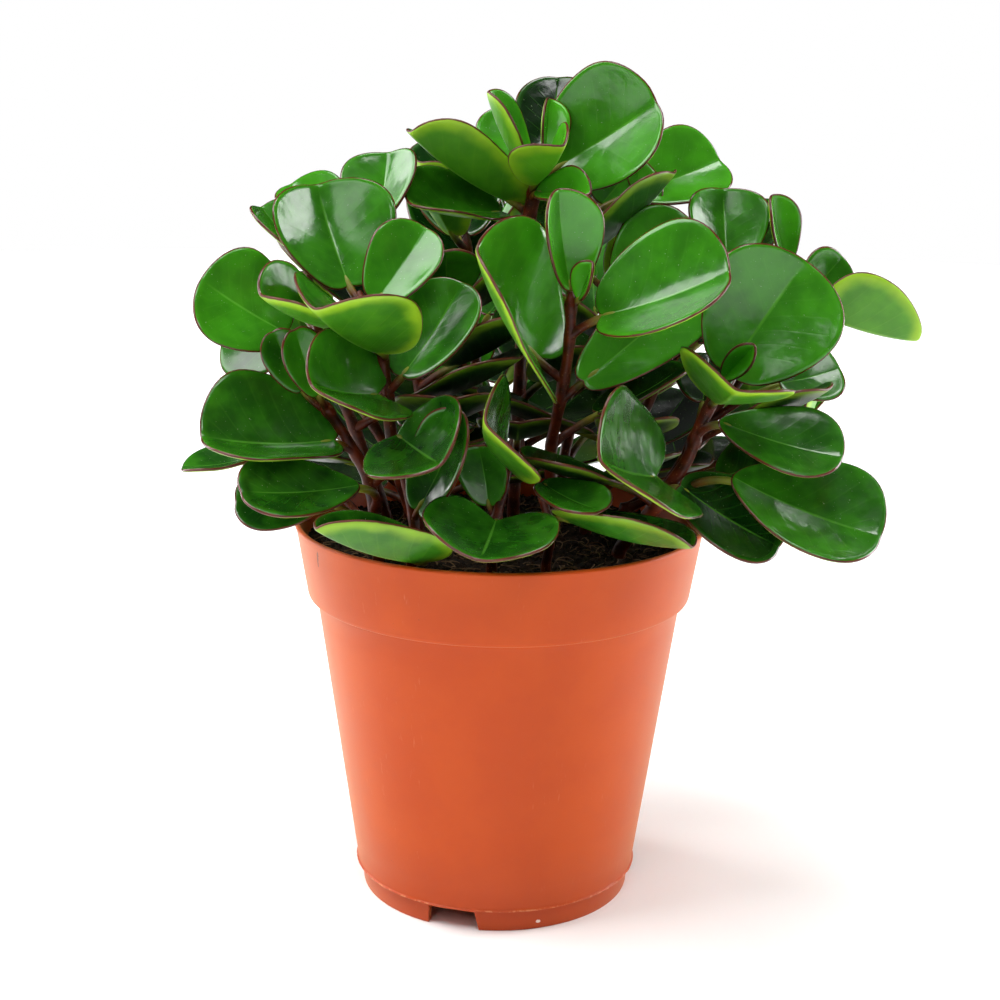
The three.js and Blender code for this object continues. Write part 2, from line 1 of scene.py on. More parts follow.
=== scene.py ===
# %% [markdown]
# # A potted peperomia
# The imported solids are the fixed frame: they say where every leaf, stem and wall of the
# pot is. This script dresses them. Each faceted solid is replaced by a finer piece with
# the same form, and each surface gets a material made of nodes.
# Places are metres in the frame. The leaf tables are millimetres from the pot's axis.

# %% Frame and helpers
import math

import bmesh
import bpy
import numpy as np
from mathutils import Matrix, Vector, noise


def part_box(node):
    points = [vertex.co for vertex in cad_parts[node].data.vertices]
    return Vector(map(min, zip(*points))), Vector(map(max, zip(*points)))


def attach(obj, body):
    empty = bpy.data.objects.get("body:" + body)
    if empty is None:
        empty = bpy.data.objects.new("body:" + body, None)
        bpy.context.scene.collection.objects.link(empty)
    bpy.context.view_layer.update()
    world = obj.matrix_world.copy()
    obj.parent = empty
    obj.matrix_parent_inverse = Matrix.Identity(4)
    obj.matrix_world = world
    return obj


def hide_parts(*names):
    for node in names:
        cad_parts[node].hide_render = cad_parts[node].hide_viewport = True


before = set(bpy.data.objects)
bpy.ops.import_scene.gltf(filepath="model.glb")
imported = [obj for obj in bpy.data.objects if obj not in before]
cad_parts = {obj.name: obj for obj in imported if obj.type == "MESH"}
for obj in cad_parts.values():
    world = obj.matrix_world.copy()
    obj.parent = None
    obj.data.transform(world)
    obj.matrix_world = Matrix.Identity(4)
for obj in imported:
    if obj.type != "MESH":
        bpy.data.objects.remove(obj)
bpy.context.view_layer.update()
print("solids in the frame", len(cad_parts))

MM = 0.001
pot_low, pot_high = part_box("pot")
AXIS = Vector(((pot_low[0] + pot_high[0]) / 2, (pot_low[1] + pot_high[1]) / 2, 0))
print("pot axis", tuple(round(c, 5) for c in AXIS))


def unit(vector):
    """The same direction, with a length of 1"""
    return vector / np.linalg.norm(vector, axis=-1, keepdims=True)


def mesh_piece(name, places_mm, faces, materials=(), attributes=None):
    """A mesh from places in millimetres from the pot's axis"""
    mesh = bpy.data.meshes.new(name)
    places = np.asarray(places_mm, float) * MM + np.array(AXIS)
    mesh.from_pydata(places.tolist(), [], [list(map(int, f)) for f in faces])
    for key, values in (attributes or {}).items():
        layer = mesh.attributes.new(key, "FLOAT", "POINT")
        layer.data.foreach_set("value", np.asarray(values, np.float32))
    for material in materials:
        mesh.materials.append(material)
    mesh.polygons.foreach_set("use_smooth", [True] * len(mesh.polygons))
    mesh.update()
    piece = bpy.data.objects.new(name, mesh)
    bpy.context.scene.collection.objects.link(piece)
    return piece


# %% [markdown]
# ## Camera
# The photograph shows the pot's rim as a narrow ellipse and its foot almost level, so the
# camera stands half a metre away, twice the pot's height up, and looks down by 14 degrees.
# Its place was fitted to the rim, the band, the ridge and the foot of the pot.

# %% Camera
CAMERA_DISTANCE = 0.514
CAMERA_HEIGHT = 0.2425
CAMERA_PITCH = 0.2379          # radians down
CAMERA_ROLL = 0.0145           # radians
FOCAL_PIXELS = 1799
IMAGE_PIXELS = 1000
SENSOR = 36                    # millimetres
CLIP_START = 0.01

forward = Vector((0, math.cos(CAMERA_PITCH), -math.sin(CAMERA_PITCH)))
level = Vector((1, 0, 0))
above = level.cross(forward)
right = math.cos(CAMERA_ROLL) * level + math.sin(CAMERA_ROLL) * above
upward = right.cross(forward)
camera = bpy.data.objects.new("camera", bpy.data.cameras.new("camera"))
bpy.context.scene.collection.objects.link(camera)
camera.data.sensor_width = SENSOR
camera.data.lens = FOCAL_PIXELS / IMAGE_PIXELS * SENSOR
camera.data.clip_start = CLIP_START
facing = Matrix((right, upward, -forward)).transposed()
camera.matrix_world = Matrix.Translation(
    AXIS + Vector((0, -CAMERA_DISTANCE, CAMERA_HEIGHT))) @ facing.to_4x4()
bpy.context.scene.camera = camera
print("lens", round(camera.data.lens, 2))

# %% [markdown]
# ## Colours and nodes
# Colours are written as they look on a screen and turned to linear light by one function.
# Another adds a node with its settings and links, so that each material below reads as a
# list of what the surface does. The kinds and settings that come up most have short names.
# The size of a pattern is its real size, in millimetres.

# %% Colour and node helpers
NOISE = "ShaderNodeTexNoise"
RAMP = "ShaderNodeMapRange"
MIX = "ShaderNodeMix"
MATHS = "ShaderNodeMath"
VECTORS = "ShaderNodeVectorMath"
SMOOTH = {"interpolation_type": "SMOOTHSTEP"}   # a ramp that eases in and out
COLOURS = {"data_type": "RGBA"}                 # mixes input 6 with input 7, by input 0
COLOUR_OUT = 2                                  # the output of a mix of colours
PLUS = {"operation": "ADD"}
MINUS = {"operation": "SUBTRACT"}
TIMES = {"operation": "MULTIPLY"}
SIZE_OF = {"operation": "ABSOLUTE"}


def linear(hexadecimal):
    channels = [int(hexadecimal[i:i + 2], 16) / 255 for i in (1, 3, 5)]
    return [c / 12.92 if c <= 0.04045 else ((c + 0.055) / 1.055) ** 2.4 for c in channels] + [1]


def scale_for(size_mm):
    """The scale of a noise whose patches are about this many millimetres across"""
    return 1 / (size_mm * MM)


def wire(tree, made, inputs):
    """Gives a node its inputs: values, colours in hex, other nodes' outputs, or a node
    itself, which stands for its first output or for the colour of a mix."""
    for key, value in inputs.items():
        if isinstance(value, bpy.types.Node):
            value = value.outputs[COLOUR_OUT if value.bl_idname == MIX else 0]
        if isinstance(value, bpy.types.NodeSocket):
            tree.links.new(value, made.inputs[key])
        elif isinstance(value, str) and value.startswith("#"):
            made.inputs[key].default_value = linear(value)
        else:
            made.inputs[key].default_value = value


def node(tree, kind, settings=None, inputs=None):
    """Adds a node with its settings and links"""
    made = tree.nodes.new(kind)
    for key, value in (settings or {}).items():
        setattr(made, key, value)
    wire(tree, made, inputs or {})
    return made


def new_material(name):
    material = bpy.data.materials.new(name)
    material.use_nodes = True
    tree = material.node_tree
    return material, tree, tree.nodes["Principled BSDF"]


# %% [markdown]
# ## Light
# The photograph is a cut-out on white: broad soft light from the upper left, and bright
# sides that whiten the pot's left and right edges. The room itself is dim, or the dark
# leaves would look grey, so six softboxes do the work: the key light, which shines on the
# top leaves, a small one overhead, one at each side and two small ones in front. The
# backdrop is white to the camera only, and four lamps turned away from the plant wash the
# floor all round, so that the plain pale disc meets the white without an edge.

# %% Light and floor
ROOM = 0.05                     # what lights the plant
BACKDROP = 1.0                  # what the camera sees

world = bpy.data.worlds.new("studio")
bpy.context.scene.world = world
world.use_nodes = True
tree = world.node_tree
ray = node(tree, "ShaderNodeLightPath")
seen = node(tree, RAMP, {}, {
    "Value": ray.outputs["Is Camera Ray"], "To Min": ROOM, "To Max": BACKDROP})
wire(tree, tree.nodes["Background"], {"Color": "#ffffff", "Strength": seen})
bpy.context.scene.view_settings.view_transform = "Standard"


def softbox(name, place, target, width, height, power):
    light = bpy.data.lights.new(name, "AREA")
    light.shape = "RECTANGLE"
    light.size, light.size_y, light.energy = width, height, power
    lamp = bpy.data.objects.new(name, light)
    bpy.context.scene.collection.objects.link(lamp)
    lamp.location = AXIS + Vector(place)
    aim = AXIS + Vector(target) - lamp.location
    lamp.rotation_euler = aim.to_track_quat("-Z", "Y").to_euler()


# place and target in metres from the foot of the pot's axis, width, height and watts
softbox("key_softbox", (-0.62, -0.15, 0.88), (0, 0, 0.15), 0.65, 0.55, 9)
softbox("overhead_softbox", (0.05, 0.05, 1.00), (0, 0, 0.15), 0.30, 0.30, 3)
softbox("high_front_softbox", (0.15, -0.65, 0.95), (0, 0, 0.15), 0.35, 0.25, 2.5)
softbox("left_softbox", (-0.85, 0.45, 0.40), (0, 0, 0.12), 0.35, 0.9, 6.5)
softbox("right_softbox", (0.90, 0.20, 0.35), (0, 0, 0.12), 0.3, 0.8, 8)
softbox("front_softbox", (-0.35, -1.00, 0.80), (0, 0, 0.12), 0.35, 0.35, 1.5)
WASH_OUT = 0.9                  # metres from the axis to the lamp
WASH_UP = 1.6
WASH_TARGET = 3.6               # metres from the axis to where it aims
WASH_SIZE = (2.4, 0.8)
WASH_POWER = 80
FRONT_WASH_POWER = 45
for name, x, y in (("back", 0, 1), ("right", 1, 0), ("front", 0, -1), ("left", -1, 0)):
    power = FRONT_WASH_POWER if name == "front" else WASH_POWER
    softbox(f"floor_wash_{name}", (WASH_OUT * x, WASH_OUT * y, WASH_UP),
            (WASH_TARGET * x, WASH_TARGET * y, 0), *WASH_SIZE, power)

FLOOR_RADIUS = 1.9
FLOOR_SIDES = 96
turns = np.linspace(0, 2 * math.pi, FLOOR_SIDES, endpoint=False)
floor = mesh_piece("floor", [[FLOOR_RADIUS / MM * math.cos(t), FLOOR_RADIUS / MM * math.sin(t), 0]
                             for t in turns], [tuple(range(FLOOR_SIDES))])

# %% [markdown]
# ## Floor finish
# A painted board: pale, matt, with a barely visible mottle so that it isn't a flat colour.
# It is lit a little from below, as a light table is, so that its shadows stay faint. The
# glow stops short of the pot, or it would shine through its notches.

# %% Floor finish
GLOW = 0.08
GLOW_STARTS = 45 * MM           # from the pot's axis
GLOW_IS_FULL = 75 * MM

board, tree, shader = new_material("pale_painted_board")
place = node(tree, "ShaderNodeTexCoord").outputs["Object"]
mottle = node(tree, NOISE, {}, {"Vector": place, "Scale": scale_for(40), "Detail": 3})
paint = node(tree, MIX, COLOURS, {0: mottle, 6: "#fbfbfb", 7: "#ffffff"})
apart = node(tree, VECTORS, {"operation": "DISTANCE"}, {0: place, 1: tuple(AXIS)})
glow = node(tree, RAMP, SMOOTH, {
    "Value": apart.outputs["Value"], "From Min": GLOW_STARTS, "From Max": GLOW_IS_FULL,
    "To Min": 0.0, "To Max": GLOW})
wire(tree, shader, {
    "Base Color": paint, "Roughness": 0.6, "Specular IOR Level": 0.2,
    "Emission Color": "#ffffff", "Emission Strength": glow})
floor.data.materials.append(board)
print(board.name, len(tree.nodes), "nodes")

# %% [markdown]
# ## Pot
# A nursery pot is moulded in one shot from polypropylene: a thin tapered wall, a wider
# band at the rim, a ridge of flash where the mould parts above the foot, and a foot ring
# with notches that let water out. A lathe is the natural way: the half section is turned
# round the axis. The flash is uneven on the real pot, so noise moves its edge a little.
# Notches and drain holes are cut by Boolean modifiers.

# %% Pot shape
# millimetres, from the pot's axis and from the ground
RIM_RADIUS = 60
POT_HEIGHT = 112.5
WALL = 1.2
BAND_FOOT_Z = 91
BAND_FOOT_RADIUS = 56.3
WALL_TOP_RADIUS = 53.7
FOOT_TOP_Z = 6.9
WALL_FOOT_RADIUS = 42
RIDGE = 0.5                     # how far the flash stands out
RIDGE_Z = FOOT_TOP_Z + 0.1
RIDGE_HALF = 0.3                # half of its height
RIDGE_BITES = 0.35              # how deep its torn edge is bitten
RIDGE_WAVER = 0.12              # how far it wavers up and down
RIDGE_DETAIL = 9                # the larger, the finer its ragged edge
FOOT_RADIUS = 40.3
FOOT_RING = 2.2
FLOOR_UNDERSIDE = 3.8
FLOOR_TOP = 6.2
NEAR_AXIS = 0.01                # a section starts and ends this near to the axis
POT_SIDES = 224
NOTCH_WIDTH = 16
NOTCH_HEIGHT = 6
NOTCH_COUNT = 3
FIRST_NOTCH = -107              # degrees
NOTCH_SPAN = (36.5, 44)         # the tool cuts outwards through the ring
DRAIN_RADIUS = 2.5
DRAIN_CIRCLE = 27
DRAIN_SPAN = (1, 9)             # the tool cuts upwards through the floor
SHARP_EDGE = 38                 # degrees from which an edge looks sharp


def arc(centre, radius, start, end, steps):
    """Points on an arc, from start to end in degrees"""
    turns = np.radians(np.linspace(start, end, steps))
    return [(centre[0] + radius * math.cos(t), centre[1] + radius * math.sin(t)) for t in turns]


def steps_between(first, last, count):
    """The points that cut a straight line into count parts"""
    shares = np.linspace(0, 1, count + 1)[1:-1]
    return [(first[0] + (last[0] - first[0]) * s, first[1] + (last[1] - first[1]) * s)
            for s in shares]


def pot_section():
    """From the middle of the underside, up the outside, over the rim and down the inside"""
    wall_top = (WALL_TOP_RADIUS, BAND_FOOT_Z - 1.2)
    wall_foot = (WALL_FOOT_RADIUS, FOOT_TOP_Z + 1.0)
    band_top = (RIM_RADIUS - 0.55, POT_HEIGHT - 2.6)
    band_foot = (BAND_FOOT_RADIUS + 0.15, BAND_FOOT_Z + 0.9)
    lip = (RIM_RADIUS - 0.8, POT_HEIGHT - 0.8)
    section = [(NEAR_AXIS, FLOOR_UNDERSIDE), (FOOT_RADIUS - FOOT_RING - 0.3, FLOOR_UNDERSIDE)]
    section += [(FOOT_RADIUS - FOOT_RING, 3.5), (FOOT_RADIUS - FOOT_RING, 0.4)]
    section += [(FOOT_RADIUS - FOOT_RING + 0.4, 0), (FOOT_RADIUS - 0.5, 0)]
    section += [(FOOT_RADIUS - 0.1, 0.15), (FOOT_RADIUS, 0.5)]
    section += steps_between((FOOT_RADIUS, 0.5), (FOOT_RADIUS + 0.5, FOOT_TOP_Z - 0.3), 4)
    section += [(FOOT_RADIUS + 0.5, FOOT_TOP_Z - 0.35), (FOOT_RADIUS + 0.9, FOOT_TOP_Z - 0.25)]
    section += [(WALL_FOOT_RADIUS + RIDGE - 0.1, FOOT_TOP_Z - 0.1)]
    section += [(WALL_FOOT_RADIUS + RIDGE, FOOT_TOP_Z + 0.1)]
    section += [(WALL_FOOT_RADIUS + RIDGE - 0.1, FOOT_TOP_Z + 0.3)]
    section += [(WALL_FOOT_RADIUS + 0.1, FOOT_TOP_Z + 0.5), wall_foot]
    section += steps_between(wall_foot, wall_top, 14) + [wall_top]
    section += [(WALL_TOP_RADIUS + 0.25, BAND_FOOT_Z - 0.75)]
    section += [(WALL_TOP_RADIUS + 0.8, BAND_FOOT_Z - 0.45)]
    section += [(BAND_FOOT_RADIUS - 0.7, BAND_FOOT_Z - 0.3)]
    section += [(BAND_FOOT_RADIUS - 0.2, BAND_FOOT_Z)]
    section += [(BAND_FOOT_RADIUS, BAND_FOOT_Z + 0.4), band_foot]
    section += steps_between(band_foot, band_top, 5) + [band_top]
    section += arc(lip, 0.8, -10, 100, 7)
    section += [(RIM_RADIUS - WALL - 0.25, POT_HEIGHT - 0.35)]
    section += [(RIM_RADIUS - WALL - 0.5, POT_HEIGHT - 1.2)]
    section += [(BAND_FOOT_RADIUS - WALL, BAND_FOOT_Z + 0.4)]
    section += [(WALL_TOP_RADIUS - WALL, BAND_FOOT_Z - 1.6)]
    section += [(WALL_FOOT_RADIUS - WALL, FOOT_TOP_Z + 1.6)]
    section += [(WALL_FOOT_RADIUS - WALL - 2, FLOOR_TOP), (NEAR_AXIS, FLOOR_TOP)]
    return section


def lathe(name, section, sides, shift=None):
    """Turns a half section round the axis. shift moves each place a little."""
    places, faces = [], []
    for radius, height in section:
        for k in range(sides):
            turn = 2 * math.pi * k / sides
            r, z = shift(radius, height, turn) if shift else (radius, height)
            places.append((r * math.cos(turn), r * math.sin(turn), z))
    for i in range(len(section) - 1):
        for k in range(sides):
            a, b = i * sides + k, i * sides + (k + 1) % sides
            faces.append((a, b, b + sides, a + sides))
    last = (len(section) - 1) * sides
    faces.append(tuple(range(sides))[::-1])
    faces.append(tuple(last + k for k in range(sides)))
    return mesh_piece(name, places, faces)


def flash(radius, height, turn):
    """The parting ridge is ragged: its edge wanders by a few tenths of a millimetre"""
    if abs(height - RIDGE_Z) < RIDGE_HALF and radius > WALL_FOOT_RADIUS:
        around = RIDGE_DETAIL * Vector((math.cos(turn), math.sin(turn), 0))
        ragged = noise.noise(around) + 0.6 * noise.noise(around * 4)
        waver = noise.noise(around * 2)
        return radius + RIDGE_BITES * min(0, ragged), height + RIDGE_WAVER * waver
    return radius, height


def cutter(name, outline, low, high, azimuth, distance):
    """A prism. With a distance from the axis it stands upright there, and its outline is
    across and outward; without one it lies along the radius, and its outline is across
    and up. low and high are where it starts and ends."""
    turn = math.radians(azimuth)
    out = np.array([math.cos(turn), math.sin(turn), 0])
    across = np.array([-math.sin(turn), math.cos(turn), 0])
    up = np.array([0, 0, 1.0])
    places = []
    for level_at in (low, high):
        for a, b in outline:
            if distance is None:
                places.append(a * across + b * up + level_at * out)
            else:
                places.append(a * across + (distance + b) * out + level_at * up)
    n = len(outline)
    faces = [tuple(range(n)), tuple(range(2 * n - 1, n - 1, -1))]
    faces += [(k, k + n, (k + 1) % n + n, (k + 1) % n) for k in range(n)]
    made = mesh_piece(name, places, faces)
    outward(made)
    return made


def outward(piece):
    """Turns every face of a closed mesh outwards"""
    shell = bmesh.new()
    shell.from_mesh(piece.data)
    bmesh.ops.remove_doubles(shell, verts=shell.verts, dist=1e-7)
    bmesh.ops.recalc_face_normals(shell, faces=shell.faces)
    shell.to_mesh(piece.data)
    shell.free()


def flattened(piece):
    """Applies the modifiers and drops the tools that they used"""
    tools = [m.object for m in piece.modifiers if m.type == "BOOLEAN"]
    depsgraph = bpy.context.evaluated_depsgraph_get()
    mesh = bpy.data.meshes.new_from_object(piece.evaluated_get(depsgraph))
    piece.modifiers.clear()
    piece.data = mesh
    for tool in tools:
        bpy.data.objects.remove(tool)


pot = lathe("nursery_pot", pot_section(), POT_SIDES, flash)
outward(pot)
half_notch = NOTCH_WIDTH / 2
# across and up: the sides slope, the right one more
notch_outline = [(-half_notch, -2), (half_notch, -2), (half_notch - 1.6, NOTCH_HEIGHT - 0.5),
                 (half_notch - 2.1, NOTCH_HEIGHT), (-half_notch + 1.0, NOTCH_HEIGHT),
                 (-half_notch + 0.5, NOTCH_HEIGHT - 0.5)]
drain_outline = [(DRAIN_RADIUS * math.cos(t), DRAIN_RADIUS * math.sin(t))
                 for t in np.radians(range(0, 360, 15))]
for i in range(NOTCH_COUNT):
    azimuth = FIRST_NOTCH + 360 / NOTCH_COUNT * i
    for tool in (cutter(f"notch_tool_{i}", notch_outline, *NOTCH_SPAN, azimuth, None),
                 cutter(f"drain_tool_{i}", drain_outline, *DRAIN_SPAN, azimuth, DRAIN_CIRCLE)):
        cut = pot.modifiers.new("cut", "BOOLEAN")
        cut.operation, cut.solver, cut.object = "DIFFERENCE", "EXACT", tool
flattened(pot)
pot.data.polygons.foreach_set("use_smooth", [True] * len(pot.data.polygons))
pot.data.set_sharp_from_angle(angle=math.radians(SHARP_EDGE))
print("pot faces", len(pot.data.polygons))

# %% [markdown]
# ## Pot finish
# Terracotta-coloured polypropylene, injection moulded, as sold in every garden shop. The
# pigment is mixed evenly, so the colour hardly varies, but the surface has a soft sheen
# with a fine grain from the mould, faint vertical scuffs from being stacked, and a little
# dust and darkening at the foot. The flash at the parting ridge is torn, so it is paler.
# This pot also has a short dark scratch on its band and a pale chip on its foot ring.

# %% Pot finish
# place, half width and half height in millimetres, colour
MARKS = [
    [(12.7, -38.5, 2.4), 0.55, 0.45, "#f2e6da"],
    [(-50.6, -30.9, 107.6), 0.24, 3.0, "#4a1608"],
]
MARK_DEPTH = 2                  # how far a mark reaches inwards from its place

plastic, tree, shader = new_material("moulded_terracotta_polypropylene")
place = node(tree, "ShaderNodeTexCoord").outputs["Object"]
height = node(tree, "ShaderNodeSeparateXYZ", {}, {"Vector": place}).outputs["Z"]
cloud = node(tree, NOISE, {}, {
    "Vector": place, "Scale": scale_for(22), "Detail": 4, "Roughness": 0.55})
drift = node(tree, RAMP, SMOOTH, {"Value": cloud, "From Min": 0.35, "From Max": 0.65})
colour = node(tree, MIX, COLOURS, {0: drift, 6: "#ba4409", 7: "#bf490c"})
# the lowest three centimetres are darker
low_wall = node(tree, RAMP, SMOOTH, {
    "Value": height, "From Min": 4 * MM, "From Max": 30 * MM, "To Min": 1.0, "To Max": 0.0})
low_wall = node(tree, MATHS, TIMES, {0: low_wall, 1: 0.45})
colour = node(tree, MIX, COLOURS, {0: low_wall, 6: colour, 7: "#a8401f"})
# scuffs are thin upright streaks, in patches: noise that is stretched up the pot
stretch = node(tree, "ShaderNodeMapping", {}, {"Vector": place, "Scale": (1, 1, 0.06)})
streak = node(tree, NOISE, {}, {
    "Vector": stretch, "Scale": scale_for(1.1), "Detail": 5, "Roughness": 0.65})
streak = node(tree, RAMP, SMOOTH, {"Value": streak, "From Min": 0.62, "From Max": 0.74})
patch = node(tree, NOISE, {}, {"Vector": place, "Scale": scale_for(30), "Detail": 2})
patch = node(tree, RAMP, SMOOTH, {"Value": patch, "From Min": 0.50, "From Max": 0.62})
scuff = node(tree, MATHS, TIMES, {0: streak, 1: patch})
pale_scuff = node(tree, MATHS, TIMES, {0: scuff, 1: 0.22})
colour = node(tree, MIX, COLOURS, {0: pale_scuff, 6: colour, 7: "#e39a74"})
# specks of peat dust
dust = node(tree, NOISE, {}, {"Vector": place, "Scale": scale_for(0.8), "Detail": 1})
dust = node(tree, RAMP, SMOOTH, {"Value": dust, "From Min": 0.80, "From Max": 0.84})
dust = node(tree, MATHS, TIMES, {0: dust, 1: 0.5})
colour = node(tree, MIX, COLOURS, {0: dust, 6: colour, 7: "#6a3a22"})
# the torn edge of the flash
from_ridge = node(tree, MATHS, MINUS, {0: height, 1: RIDGE_Z * MM})
from_ridge = node(tree, MATHS, SIZE_OF, {0: from_ridge})
edge = node(tree, RAMP, SMOOTH, {
    "Value": from_ridge, "From Min": 0.1 * MM, "From Max": 0.4 * MM, "To Min": 1.0, "To Max": 0.0})
tear = node(tree, NOISE, {}, {
    "Vector": place, "Scale": scale_for(2.5), "Detail": 4, "Roughness": 0.7})
tear = node(tree, RAMP, SMOOTH, {
    "Value": tear, "From Min": 0.48, "From Max": 0.64, "To Min": 0.0, "To Max": 0.5})
torn = node(tree, MATHS, TIMES, {0: edge, 1: tear})
colour = node(tree, MIX, COLOURS, {0: torn, 6: colour, 7: "#de9a68"})
# each mark is an ellipse whose outline is made ragged by noise
for spot, half_width, half_height, tint in MARKS:
    middle = [c + v * MM for c, v in zip(AXIS, spot)]
    away = node(tree, VECTORS, MINUS, {0: place, 1: middle})
    shape = node(tree, VECTORS, TIMES, {
        0: away, 1: (1 / half_width / MM, 1 / MARK_DEPTH / MM, 1 / half_height / MM)})
    spread = node(tree, VECTORS, {"operation": "LENGTH"}, {0: shape})
    nibble = node(tree, NOISE, {}, {"Vector": place, "Scale": scale_for(0.8), "Detail": 3})
    nibble = node(tree, RAMP, SMOOTH, {
        "Value": nibble, "From Min": 0.3, "From Max": 0.7, "To Min": -0.4, "To Max": 0.4})
    ragged = node(tree, MATHS, PLUS, {0: spread.outputs["Value"], 1: nibble})
    mark = node(tree, RAMP, SMOOTH, {
        "Value": ragged, "From Min": 0.8, "From Max": 1.1, "To Min": 0.8, "To Max": 0.0})
    colour = node(tree, MIX, COLOURS, {0: mark, 6: colour, 7: tint})
rough = node(tree, RAMP, SMOOTH, {
    "Value": cloud, "From Min": 0.3, "From Max": 0.7, "To Min": 0.42, "To Max": 0.46})
rough_scuff = node(tree, MATHS, TIMES, {0: scuff, 1: 0.12})
rough = node(tree, MATHS, PLUS, {0: rough, 1: rough_scuff})
# the relief, in millimetres, is the mould's grain and a slow wave from the cooling
grain = node(tree, NOISE, {}, {
    "Vector": place, "Scale": scale_for(0.45), "Detail": 3, "Roughness": 0.6})
grain = node(tree, MATHS, TIMES, {0: grain, 1: 0.012})
wave = node(tree, NOISE, {}, {"Vector": place, "Scale": scale_for(14), "Detail": 2})
wave = node(tree, MATHS, TIMES, {0: wave, 1: 0.03})
relief = node(tree, MATHS, PLUS, {0: grain, 1: wave})
bump = node(tree, "ShaderNodeBump", {}, {"Height": relief, "Strength": 1.0, "Distance": MM})
# the grain also scatters part of the shine, most of it where the wall turns away
wire(tree, shader, {
    "Base Color": colour, "Roughness": rough, "Normal": bump, "IOR": 1.49,
    "Specular IOR Level": 0.24, "Sheen Weight": 0.25, "Sheen Roughness": 0.4,
    "Sheen Tint": "#fff0a8", "Subsurface Weight": 0.03,
    "Subsurface Radius": (1.0, 0.35, 0.15), "Subsurface Scale": 1.5 * MM})
pot.data.materials.clear()
pot.data.materials.append(plastic)
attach(pot, "root")
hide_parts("pot")
print(plastic.name, len(tree.nodes), "nodes")

# %% [markdown]
# ## Soil
# Peat is pressed into the pot as one plug, a few millimetres below the rim, and its top
# is loose. The plug is built of rings, and its top is raised by noise. Over it, Geometry
# Nodes scatter crumbs and short root fibres: many small pieces that follow a surface are
# just what they are good at, and a fixed seed keeps them the same each time.

# %% Soil plug
SOIL_Z = 106
SOIL_RELIEF = 1.1               # height of the soft mounds
CLODS = 0.8                     # height of the clods on them
SETTLED = 0.4                   # how far the plug's top lies below the solid's
SOIL_TOP_RADIUS = 57.0
SOIL_RINGS = 40                 # from the edge of the top to its middle
SOIL_SIDES = 128


def soil_mound(x, y):
    """The soft mounds of the solid, with finer clods on them"""
    inside = max(0.0, 1 - math.hypot(x, y) / SOIL_TOP_RADIUS)
    soft = math.sin(0.13 * x + 0.6) * math.cos(0.11 * y - 0.4) + 0.5 * math.sin(0.21 * (x + y))
    clod = noise.noise(Vector((x, y, 0)) * 0.35) + 0.5 * noise.noise(Vector((x, y, 7)) * 0.9)
    return SOIL_Z + (SOIL_RELIEF * soft + CLODS * clod) * min(1.0, 6 * inside) - SETTLED


def soil_plug():
    """Rings up the side of the plug, then inwards over its top"""
    section = [(NEAR_AXIS, 6.6), (37.5, 6.6), (40.9, 10), (51.7, 88), (54.2, 92)]
    sides = SOIL_SIDES
    rows = [[(r * math.cos(2 * math.pi * k / sides), r * math.sin(2 * math.pi * k / sides), z)
             for k in range(sides)] for r, z in section]
    for i in range(SOIL_RINGS):
        r = SOIL_TOP_RADIUS * (1 - i / SOIL_RINGS)
        row = [(r * math.cos(2 * math.pi * k / sides), r * math.sin(2 * math.pi * k / sides))
               for k in range(sides)]
        rows.append([(x, y, soil_mound(x, y)) for x, y in row])
    places = [p for row in rows for p in row] + [(0, 0, soil_mound(0, 0))]
    faces = [tuple(range(sides))[::-1]]
    for i in range(len(rows) - 1):
        for k in range(sides):
            a, b = i * sides + k, i * sides + (k + 1) % sides
            faces.append((a, b, b + sides, a + sides))
    last, tip = (len(rows) - 1) * sides, len(places) - 1
    faces += [(last + k, last + (k + 1) % sides, tip) for k in range(sides)]
    return mesh_piece("peat_plug", places, faces)


# %% [markdown]
# ## Peat finish
# Dark brown peat, moist, so it is nearly black in its gaps and a warm brown on its dry
# crumbs, and quite matt. The fibres are paler, like straw that has begun to rot.

# %% Peat finish
peat, tree, shader = new_material("moist_peat")
place = node(tree, "ShaderNodeTexCoord").outputs["Object"]
clods = node(tree, NOISE, {}, {
    "Vector": place, "Scale": scale_for(2.2), "Detail": 4, "Roughness": 0.6})
clods = node(tree, RAMP, SMOOTH, {"Value": clods, "From Min": 0.35, "From Max": 0.7})
colour = node(tree, MIX, COLOURS, {0: clods, 6: "#17100b", 7: "#3d2a1c"})
dry = node(tree, NOISE, {}, {"Vector": place, "Scale": scale_for(0.7), "Detail": 2})
dry = node(tree, RAMP, SMOOTH, {"Value": dry, "From Min": 0.62, "From Max": 0.75})
colour = node(tree, MIX, COLOURS, {0: dry, 6: colour, 7: "#5c4430"})
grit = node(tree, NOISE, {}, {
    "Vector": place, "Scale": scale_for(0.8), "Detail": 4, "Roughness": 0.7})
bump = node(tree, "ShaderNodeBump", {}, {"Height": grit, "Strength": 1.0, "Distance": 0.5 * MM})
wire(tree, shader, {
    "Base Color": colour, "Roughness": 0.92, "Normal": bump, "Specular IOR Level": 0.25})

straw, tree, shader = new_material("rotted_root_fibre")
place = node(tree, "ShaderNodeTexCoord").outputs["Object"]
rot = node(tree, NOISE, {}, {"Vector": place, "Scale": scale_for(3), "Detail": 3})
colour = node(tree, MIX, COLOURS, {0: rot, 6: "#4a3220", 7: "#8a6a48"})
bark = node(tree, NOISE, {}, {"Vector": place, "Scale": scale_for(0.3), "Detail": 2})
bump = node(tree, "ShaderNodeBump", {}, {"Height": bark, "Strength": 1.0, "Distance": 0.1 * MM})
wire(tree, shader, {"Base Color": colour, "Roughness": 0.85, "Normal": bump})
for made in (peat, straw):
    print(made.name, len(made.node_tree.nodes), "nodes")

